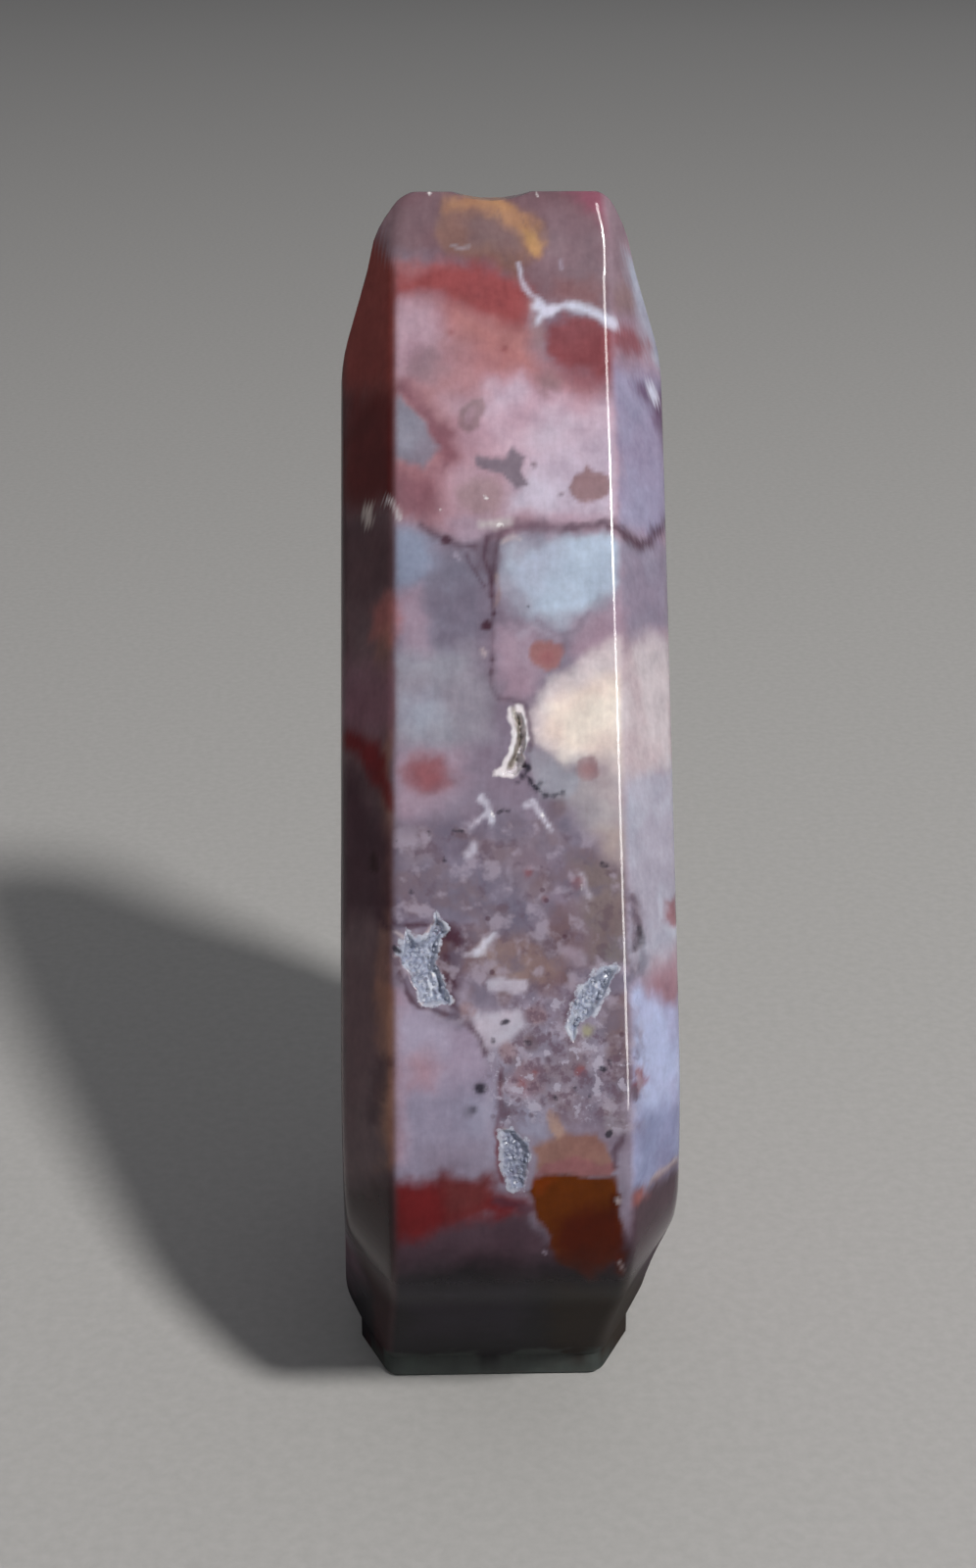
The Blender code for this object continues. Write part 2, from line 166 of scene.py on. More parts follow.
# Soft patches, from the first painted to the last: colour, softness and reach behind the front
# surface in millimetres, strength, where it may lie, and outline in pixels of the photograph
ZONES = [
    # The ground colour and the tip
    ("body", "mauve", 1.0, 12, 1.0, "all", [(300, 100), (740, 100), (740, 1450), (300, 1450)]),
    ("top_left", "purple_grey", 1.2, 14, 1.0, "all",
     [(380, 150), (680, 150), (690, 300), (520, 300), (500, 268), (380, 262)]),
    ("top_right", "grey_mauve", 1.2, 12, 0.9, "all",
     [(556, 216), (640, 220), (660, 330), (566, 314), (545, 280)]),
    ("top_russet", "russet", 1.0, 8, 0.75, "band",
     [(566, 280), (600, 284), (618, 300), (614, 316), (580, 308), (566, 300)]),
    ("top_pink", "wine_pink", 0.75, 10, 0.85, "all",
     [(572, 180), (640, 180), (650, 240), (646, 262), (626, 240), (610, 222), (590, 206), (574, 200)]),
    ("smoke_patch", "smoke", 0.6, 8, 1.0, "band",
     [(446, 222), (457, 206), (481, 199), (509, 206), (531, 218), (551, 236), (549, 256), (538, 272),
      (528, 282), (506, 268), (481, 259), (455, 254), (446, 240)]),
    ("smoke_heart", "mauve_grey", 0.75, 5, 0.35, "band",
     [(470, 226), (500, 224), (534, 242), (530, 256), (490, 248)]),
    ("gold_rim", "gold", 0.45, 6, 0.8, "band",
     [(448, 216), (462, 205), (486, 199), (509, 209), (531, 223), (550, 232), (556, 246), (549, 262),
      (539, 255), (531, 241), (509, 224), (483, 214), (462, 215)]),
    ("gold_bright", "bright_gold", 0.26, 5, 0.75, "band",
     [(536, 236), (550, 240), (552, 250), (545, 260), (539, 254)]),
    ("gold_streak", "bright_gold", 0.23, 5, 0.35, "band",
     [(486, 202), (508, 209), (526, 221), (520, 223), (500, 213)]),
    # The rose, red and pink of the upper part
    ("rose_body", "rose", 1.5, 12, 0.85, "all",
     [(330, 290), (520, 320), (560, 370), (620, 400), (600, 440), (560, 480), (540, 534), (440, 536),
      (330, 530)]),
    ("rose_lilac", "lavender_pink", 1.6, 9, 0.8, "band",
     [(452, 404), (500, 394), (540, 390), (548, 534), (450, 538), (446, 490), (460, 460)]),
    ("red_top", "soft_brick", 0.75, 10, 0.85, "all",
     [(380, 262), (420, 264), (470, 262), (470, 296), (380, 292)]),
    ("red_blend", "soft_brick", 1.7, 9, 0.6, "band",
     [(400, 290), (540, 300), (548, 352), (500, 350), (440, 330), (400, 316)]),
    ("red_one", "brick", 1.0, 10, 0.97, "all",
     [(380, 284), (424, 276), (450, 270), (476, 266), (505, 268), (523, 280), (535, 294), (538, 312),
      (535, 327), (526, 333), (508, 331), (488, 324), (470, 314), (448, 306), (430, 298), (380, 306)]),
    ("red_fade", "salmon", 1.5, 8, 0.85, "band",
     [(446, 312), (490, 326), (535, 334), (544, 350), (551, 376), (542, 388), (518, 384), (492, 362),
      (466, 338)]),
    ("red_gap", "mauve_brown", 0.52, 7, 0.7, "band",
     [(538, 300), (550, 318), (556, 336), (556, 360), (546, 352), (539, 330)]),
    ("red_two_low", "soft_garnet", 1.3, 9, 0.7, "all",
     [(566, 350), (640, 340), (640, 390), (614, 402), (592, 402), (576, 386)]),
    ("red_two", "garnet", 0.7, 9, 0.9, "all",
     [(554, 328), (575, 320), (599, 322), (620, 332), (652, 342), (662, 354), (656, 366), (636, 360),
      (624, 366), (616, 380), (596, 374), (574, 366), (558, 358)]),
    ("lilac_left", "lavender_pink", 1.4, 9, 0.95, "band",
     [(392, 306), (424, 304), (444, 310), (452, 336), (448, 364), (440, 384), (410, 392), (392, 388)]),
    ("grey_smear", "purple_grey", 0.75, 5, 0.6, "band",
     [(417, 366), (430, 358), (443, 356), (448, 376), (436, 390), (424, 388), (415, 380)]),
    ("lilac_high", "pink", 1.5, 12, 0.95, "all",
     [(498, 396), (530, 384), (552, 396), (600, 408), (640, 400), (690, 380), (700, 560), (560, 540),
      (520, 470), (486, 436)]),
    ("lilac_pale", "lilac", 1.2, 9, 0.9, "band",
     [(556, 420), (622, 412), (628, 520), (590, 530), (540, 500), (544, 450)]),
    ("bloom", "bloom", 1.4, 9, 0.9, "band",
     [(560, 470), (626, 440), (630, 512), (560, 520), (520, 520), (524, 496)]),
    ("bloom_high", "bloom", 1.0, 9, 0.6, "band",
     [(500, 396), (530, 390), (540, 408), (516, 424), (498, 414)]),
    ("dark_rose_rim", "dusty_rose", 0.8, 6, 1.0, "band",
     [(384, 392), (422, 392), (444, 412), (460, 438), (466, 466), (452, 486), (444, 456), (430, 424),
      (412, 406), (384, 406)]),
    ("blue_oval", "oval_blue", 0.36, 7, 1.0, "band",
     [(386, 405), (410, 406), (424, 418), (437, 435), (448, 453), (443, 466), (433, 477), (418, 471),
      (386, 458)]),
    ("oval_heart", "mid_blue", 0.75, 5, 0.2, "band",
     [(398, 420), (416, 422), (430, 442), (432, 462), (404, 452)]),
    ("ring_out", "spotgrey", 0.22, 4, 0.75, "band",
     [(470, 414), (480, 404), (490, 404), (494, 416), (488, 434), (476, 438), (466, 430)]),
    ("ring_in", "lavender_pink", 0.2, 4, 0.55, "band",
     [(476, 418), (482, 412), (487, 416), (483, 428), (476, 428)]),
    ("faint_one", "mauve_brown", 0.48, 4, 0.7, "band",
     [(549, 384), (562, 379), (576, 388), (574, 398), (562, 404), (552, 400)]),
    ("faint_low", "mauve_brown", 0.26, 4, 0.5, "band", [(552, 404), (560, 402), (564, 410), (556, 414)]),
    ("purple_blotch", "ash", 0.2, 5, 0.95, "band",
     [(484, 466), (500, 464), (514, 471), (526, 462), (537, 468), (532, 484), (537, 499), (524, 503),
      (513, 489), (500, 484), (488, 476)]),
    ("brown_blotch", "mauve_brown", 0.2, 5, 1.0, "band",
     [(583, 492), (589, 481), (597, 480), (600, 470), (606, 479), (618, 478), (622, 486), (622, 503),
      (611, 508), (597, 508), (585, 500)]),
    ("rose_low", "dusty_rose", 1.2, 9, 0.95, "all",
     [(380, 468), (402, 474), (432, 484), (448, 492), (452, 512), (434, 534), (408, 532), (380, 508)]),
    ("rose_brown", "mauve_brown", 0.6, 5, 0.75, "band",
     [(466, 498), (484, 488), (506, 490), (514, 508), (504, 524), (484, 524), (468, 514)]),
    ("line_pale", "bloom", 0.33, 5, 0.5, "band",
     [(522, 510), (580, 514), (620, 512), (620, 518), (560, 520), (522, 516)]),
    ("grey_above_vein", "lavender", 0.6, 6, 0.85, "band",
     [(452, 530), (476, 524), (506, 528), (504, 546), (484, 552), (462, 548)]),
    # The blue and slate across the middle
    ("blue_left", "blue", 0.9, 9, 0.95, "band",
     [(386, 533), (418, 537), (440, 554), (444, 572), (434, 594), (412, 600), (396, 608), (386, 604)]),
    ("slate_middle", "slate", 1.3, 9, 0.9, "band",
     [(446, 566), (476, 566), (496, 590), (500, 630), (492, 650), (462, 664), (436, 656), (426, 620),
      (436, 590)]),
    ("rosy_middle", "lavender", 0.75, 6, 0.6, "band",
     [(404, 606), (430, 596), (436, 620), (440, 664), (414, 660), (410, 630)]),
    ("fan_mass", "plum", 0.52, 6, 0.62, "band",
     [(472, 554), (500, 541), (517, 550), (509, 571), (505, 592), (500, 611), (493, 592), (481, 578)]),
    ("grey_blue_right", "mid_blue", 0.75, 8, 0.9, "band",
     [(512, 554), (540, 544), (600, 544), (628, 546), (636, 600), (600, 646), (560, 642), (520, 622),
      (508, 590)]),
    ("blue_right", "pale_blue", 0.6, 9, 0.97, "all",
     [(523, 574), (538, 560), (578, 547), (620, 541), (640, 556), (640, 598), (610, 608), (594, 622),
      (576, 632), (550, 622), (533, 606), (526, 592)]),
    ("lilac_mid", "lavender", 0.9, 9, 0.8, "all",
     [(588, 630), (640, 604), (690, 620), (690, 690), (600, 690), (586, 660)]),
    ("orange_left", "soft_brick", 0.9, 9, 1.0, "all",
     [(362, 611), (396, 608), (404, 620), (410, 640), (400, 656), (362, 652)]),
    ("blue_grey_left", "grey_blue", 1.2, 9, 0.85, "band",
     [(380, 668), (430, 664), (480, 660), (500, 700), (498, 748), (470, 764), (380, 762)]),
    ("blue_grey_pale", "mid_blue", 0.9, 7, 0.55, "band",
     [(404, 706), (440, 702), (450, 728), (430, 746), (402, 738)]),
    ("lilac_column", "lavender", 0.75, 8, 0.9, "band",
     [(506, 640), (540, 642), (552, 652), (548, 690), (542, 712), (512, 712), (504, 680)]),
    # The cream and what lies about it
    ("cream_cool", "cool_cream", 0.85, 10, 0.97, "all",
     [(544, 722), (545, 706), (560, 692), (582, 680), (604, 667), (624, 646), (700, 622), (700, 800),
      (634, 792), (613, 782), (601, 774), (582, 779), (564, 772), (549, 758), (544, 740)]),
    ("cream_warm", "cream", 1.1, 9, 0.9, "band",
     [(560, 716), (588, 700), (640, 684), (640, 784), (608, 770), (580, 770), (562, 752)]),
    ("warm_below", "warm_grey", 1.05, 9, 0.9, "all",
     [(580, 784), (600, 782), (640, 788), (700, 800), (700, 900), (632, 890), (600, 870), (576, 830)]),
    ("cream_fade", "oyster", 1.6, 8, 0.85, "band", [(604, 768), (640, 756), (640, 850), (616, 834)]),
    ("beige_low", "beige", 0.9, 8, 0.75, "band", [(606, 850), (636, 846), (640, 894), (616, 890)]),
    ("grey_blue_mid", "grey_blue", 0.35, 6, 0.9, "band",
     [(542, 771), (561, 773), (578, 780), (592, 790), (588, 802), (575, 813), (554, 809), (542, 797)]),
    ("rosy_left", "lavender", 1.05, 8, 0.8, "band",
     [(396, 766), (472, 760), (480, 800), (460, 834), (396, 836)]),
    ("red_patch", "faded_garnet", 0.9, 6, 0.95, "band",
     [(415, 781), (422, 770), (440, 768), (457, 778), (468, 792), (458, 808), (432, 805), (418, 796)]),
    ("red_patch_heart", "soft_garnet", 0.75, 5, 0.35, "band",
     [(426, 782), (446, 778), (458, 792), (440, 800)]),
    # The mottled middle
    ("mauve_mass", "mauve", 1.0, 11, 0.95, "band",
     [(380, 836), (430, 834), (480, 800), (540, 812), (586, 826), (620, 876), (650, 900), (660, 1000),
      (640, 1160), (560, 1180), (505, 1160), (500, 1060), (470, 1040), (380, 1030)]),
    ("mauve_left", "dusk_mauve", 0.9, 8, 0.6, "band",
     [(390, 842), (470, 838), (494, 870), (500, 930), (470, 946), (390, 946)]),
    ("pale_left", "mauve_grey", 0.9, 6, 0.7, "band",
     [(406, 844), (440, 842), (446, 874), (420, 884), (404, 872)]),
    ("rosy_heart", "mauve_grey", 1.05, 6, 0.65, "band",
     [(508, 850), (560, 850), (572, 900), (530, 920), (506, 890)]),
    ("brown_right", "olive_brown", 0.9, 8, 0.85, "band",
     [(590, 876), (610, 880), (640, 892), (640, 980), (606, 984), (594, 930)]),
    ("plum_middle", "dusk_mauve", 0.75, 7, 0.8, "band",
     [(488, 920), (520, 912), (548, 926), (540, 956), (500, 956)]),
    ("brown_mass", "brown", 0.75, 8, 0.9, "band",
     [(462, 948), (500, 950), (540, 952), (590, 940), (600, 980), (584, 1010), (550, 1012), (500, 1000),
      (470, 990)]),
    ("tan_heart", "tan", 0.75, 6, 0.95, "band",
     [(500, 968), (530, 960), (560, 958), (576, 984), (552, 1002), (508, 992)]),
    ("maroon_by_left", "maroon", 0.6, 5, 0.95, "band",
     [(452, 942), (478, 946), (484, 962), (474, 980), (466, 1016), (456, 1000), (450, 975)]),
    ("net_ground", "net_ground", 1.0, 6, 0.7, "band",
     [(506, 1040), (560, 1024), (620, 1060), (640, 1130), (560, 1140), (512, 1130), (500, 1080)]),
    ("net_one", "net_white", 0.2, 5, 0.9, "band",
     [(500, 1002), (516, 994), (536, 998), (540, 1012), (524, 1018), (504, 1014)]),
    ("net_two", "net_white", 0.45, 5, 0.9, "band",
     [(484, 1036), (504, 1030), (532, 1034), (544, 1050), (524, 1066), (496, 1070), (484, 1054)]),
    ("net_three", "net_lilac", 0.33, 5, 0.6, "band",
     [(578, 962), (596, 968), (600, 982), (590, 988), (580, 978)]),
    ("net_four", "net_lilac", 0.45, 5, 0.5, "band", [(462, 1012), (476, 1006), (480, 1030), (466, 1032)]),
    # The pale lilac, painted darker as shade towards the bottom, the low mottles and the cap
    # Lilac painted darker as shade towards the bottom, here and in the next patch
    ("lilac_white", "lilac_with_painted_shade", 0.7, 12, 0.97, "band",
     [(380, 996), (402, 994), (414, 1026), (446, 1038), (472, 1046), (488, 1060), (500, 1090),
      (508, 1130), (506, 1180), (480, 1198), (440, 1204), (380, 1216)]),
    ("lilac_low", "low_lilac_with_painted_shade", 1.8, 9, 0.9, "band",
     [(404, 1110), (506, 1090), (508, 1180), (480, 1198), (404, 1216)]),
    ("lilac_grey", "mauve", 1.05, 9, 0.55, "band", [(424, 1170), (500, 1160), (500, 1200), (424, 1206)]),
    ("lilac_edge", "rose", 0.75, 7, 0.35, "band", [(386, 1010), (408, 1010), (410, 1190), (386, 1200)]),
    ("pink_soft", "salmon", 1.2, 4, 0.4, "band",
     [(418, 1074), (438, 1068), (450, 1086), (442, 1106), (420, 1106)]),
    ("mottle_pink", "dusty_rose", 0.45, 5, 0.5, "band",
     [(522, 1096), (544, 1086), (564, 1094), (560, 1116), (536, 1124), (522, 1112)]),
    ("mottle_plum", "plum", 0.75, 6, 0.35, "band",
     [(562, 1070), (590, 1060), (618, 1076), (622, 1110), (606, 1142), (572, 1134), (558, 1104)]),
    ("brown_column", "brown", 0.52, 7, 0.8, "band",
     [(620, 1016), (640, 1010), (640, 1110), (620, 1104), (614, 1060)]),
    ("pale_right", "warm_grey", 0.52, 7, 0.85, "band",
     [(614, 1118), (640, 1108), (642, 1150), (620, 1150)]),
    # In the lower lilac, painted darker as shade
    ("low_blue_patch", "low_lilac_with_painted_shade", 0.45, 6, 0.85, "band",
     [(526, 1132), (546, 1128), (558, 1140), (552, 1160), (530, 1158)]),
    ("cap", "cap", 0.28, 7, 0.97, "band",
     [(542, 1196), (540, 1174), (553, 1162), (562, 1158), (578, 1152), (606, 1154), (618, 1166),
      (620, 1186), (616, 1198)]),
    ("cap_lobe", "peach", 0.2, 6, 0.85, "band",
     [(559, 1140), (564, 1134), (572, 1136), (576, 1150), (568, 1158), (560, 1152)]),
    ("cap_band", "cap_rose", 0.2, 6, 0.9, "band",
     [(552, 1186), (584, 1180), (620, 1184), (618, 1197), (580, 1197), (544, 1200)]),
    # The right bevel; its sky colours are its own colours with a painted bluish sheen of the light
    ("right_wall", "lavender", 0.8, 10, 0.8, "right", [(600, 150), (760, 150), (760, 1450), (600, 1450)]),
    ("right_top", "grey_mauve", 0.9, 10, 0.85, "right", [(600, 160), (760, 160), (760, 330), (600, 330)]),
    ("right_strip", "mid_blue", 0.5, 10, 1.0, "right",
     [(634, 256), (652, 280), (668, 314), (686, 366), (680, 396), (668, 380), (656, 350), (644, 312)]),
    ("right_tan", "tan", 0.45, 8, 0.6, "right",
     [(624, 300), (634, 294), (642, 310), (640, 326), (628, 322)]),
    ("right_red", "garnet", 0.45, 8, 0.75, "right",
     [(624, 338), (646, 340), (664, 352), (662, 366), (640, 360), (624, 358)]),
    # From here, the sky colours lay a painted bluish sheen over the bevel's own colours
    ("right_lilac", "lilac_painted_sheen", 0.9, 10, 0.95, "right",
     [(620, 372), (690, 392), (700, 548), (660, 552), (630, 530)]),
    ("right_violet", "dark_violet", 0.7, 8, 1.0, "right",
     [(650, 392), (672, 404), (692, 426), (694, 480), (676, 462), (662, 426)]),
    ("right_slate", "slate_painted_sheen", 0.75, 9, 0.8, "right", [(636, 556), (690, 552), (690, 640), (640, 650)]),
    ("right_cream", "pink_painted_sheen", 1.3, 10, 0.85, "right", [(620, 660), (700, 650), (700, 790), (620, 800)]),
    ("right_grey", "pale_grey_and_painted_sheen", 1.05, 10, 0.9, "right", [(620, 790), (710, 780), (710, 990), (620, 990)]),
    ("right_red_spot", "garnet", 0.45, 8, 0.8, "right", [(674, 918), (690, 914), (694, 948), (680, 946)]),
    ("right_pink", "soft_brick", 0.9, 8, 0.4, "right",
     [(664, 976), (700, 970), (700, 1030), (668, 1026)]),
    ("right_blue", "blue_painted_sheen", 0.75, 10, 0.95, "right",
     [(630, 1004), (700, 1020), (710, 1180), (668, 1204), (640, 1214)]),
    ("right_deep", "deep_blue_painted_sheen", 1.4, 10, 0.85, "right",
     [(640, 1140), (710, 1110), (710, 1190), (668, 1212), (636, 1222)]),
    # Painted shade at the foot of the right bevel, where it turns down away from the light
    ("right_low_painted_shade", "purple_painted_shade", 0.75, 12, 0.95, "right",
     [(620, 1222), (660, 1214), (710, 1180), (720, 1340), (620, 1340)]),
    ("right_red_low", "coral", 0.33, 8, 0.75, "right",
     [(634, 1222), (654, 1214), (660, 1222), (646, 1236), (634, 1236)]),
    # The dark foot, painted as shade where the underside faces down away from the light, the blood red and
    # the amber
    # Painted shade over the lower belly and the underside, which face down away from the light, partly over
    # the stone's own dark tints
    ("underside_painted_shade", "purple_painted_shade", 1.1, 60, 0.97, "all",
     [(300, 1222), (390, 1222), (470, 1236), (500, 1232), (540, 1232), (560, 1262), (640, 1262),
      (660, 1222), (720, 1190), (720, 1330), (300, 1330)]),
    ("underside_deep_painted_shade", "black_painted_shade", 1.8, 60, 1.0, "all",
     [(300, 1302), (400, 1300), (480, 1284), (640, 1300), (740, 1270), (740, 1450), (300, 1450)]),
    ("underside_brown_painted_shade", "brown_painted_shade", 1.2, 60, 0.8, "all",
     [(560, 1306), (660, 1300), (650, 1384), (560, 1386)]),
    ("underside_violet_painted_shade", "violet_painted_shade", 1.2, 60, 0.8, "all",
     [(410, 1318), (540, 1316), (530, 1362), (420, 1366)]),
    ("blood_left", "blood", 0.9, 9, 1.0, "all",
     [(360, 1216), (394, 1212), (424, 1210), (448, 1196), (495, 1196), (506, 1214), (540, 1222),
      (544, 1234), (520, 1240), (495, 1238), (462, 1248), (434, 1266), (387, 1272), (360, 1262)]),
    ("blood_soft", "soft_blood", 1.0, 8, 0.9, "band",
     [(446, 1196), (495, 1196), (500, 1214), (490, 1232), (462, 1240), (448, 1216)]),
    ("amber_block", "amber", 0.28, 9, 1.0, "band",
     [(538, 1216), (544, 1204), (558, 1199), (590, 1198), (622, 1200), (628, 1220), (630, 1270),
      (622, 1290), (600, 1296), (574, 1288), (564, 1262), (550, 1242)]),
    ("orange_glow", "orange", 0.52, 7, 0.75, "band",
     [(541, 1208), (551, 1201), (562, 1206), (558, 1220), (546, 1222)]),
    # Painted shade over the amber's lower end, as on the underside
    ("amber_end_painted_shade", "black_painted_shade", 1.3, 9, 0.85, "band", [(556, 1288), (640, 1280), (640, 1316), (556, 1316)]),
    ("umber_heart", "umber", 0.9, 8, 0.95, "band",
     [(570, 1246), (596, 1232), (628, 1238), (632, 1286), (600, 1296), (576, 1284)]),
    # The left bevel: its dark reds, browns and plums painted darker still as shade, as it faces away from
    # the light, and a painted highlight along its edge
    ("left_wall", "bevel_brown_painted_shade", 0.8, 8, 1.0, "left", [(250, 150), (420, 150), (420, 1400), (250, 1400)]),
    # Painted highlight: a warm glow along the rim of the left bevel
    ("left_rim_painted_highlight", "bevel_painted_highlight", 0.5, 4, 0.45, "left",
     [(386, 640), (400, 640), (400, 1010), (388, 1010)]),
    ("left_top", "bevel_wine_painted_shade", 1.82, 9, 0.95, "left", [(250, 180), (420, 180), (420, 410), (250, 400)]),
    ("left_blood", "bevel_blood_painted_shade", 1.56, 9, 0.9, "left", [(340, 400), (420, 396), (420, 520), (340, 516)]),
    ("left_umber", "bevel_umber_painted_shade", 1.56, 9, 0.95, "left",
     [(250, 530), (420, 534), (420, 606), (250, 610)]),
    ("left_orange", "coral", 0.75, 8, 0.6, "left", [(376, 616), (404, 610), (404, 654), (378, 652)]),
    ("left_mauve", "bevel_mauve_painted_shade", 1.82, 9, 0.9, "left", [(250, 680), (420, 676), (420, 750), (250, 744)]),
    ("left_low_blood", "bevel_red_painted_shade", 0.6, 9, 0.9, "left",
     [(250, 744), (364, 746), (384, 762), (404, 800), (398, 822), (374, 790), (350, 768), (250, 764)]),
    ("left_plum", "bevel_plum_painted_shade", 1.56, 9, 0.9, "left",
     [(250, 790), (366, 792), (386, 830), (404, 850), (404, 934), (250, 930)]),
    # Painted highlight: a warm glow along the lower edge of the left bevel
    ("left_edge_painted_highlight", "bevel_painted_highlight", 0.9, 9, 0.8, "left",
     [(388, 1006), (420, 1006), (420, 1190), (392, 1196)]),
    # Painted deep shade over the bottom of the left bevel
    ("left_low_painted_shade", "bevel_black_painted_shade", 1.56, 9, 0.95, "left",
     [(250, 1200), (420, 1206), (420, 1400), (250, 1400)]),
    # The ground strip of the foot
    ("foot", "foot_grey", 0.2, 60, 0.9, "all", [(300, 1380), (700, 1380), (700, 1450), (300, 1450)]),
]

# Fine brown hairs near the tip, in pixels
HAIRS = [
    [(508, 216), (511, 226)], [(532, 220), (537, 232)], [(553, 222), (558, 234)],
    [(514, 256), (517, 268)], [(524, 256), (527, 268)], [(535, 258), (538, 268)],
]

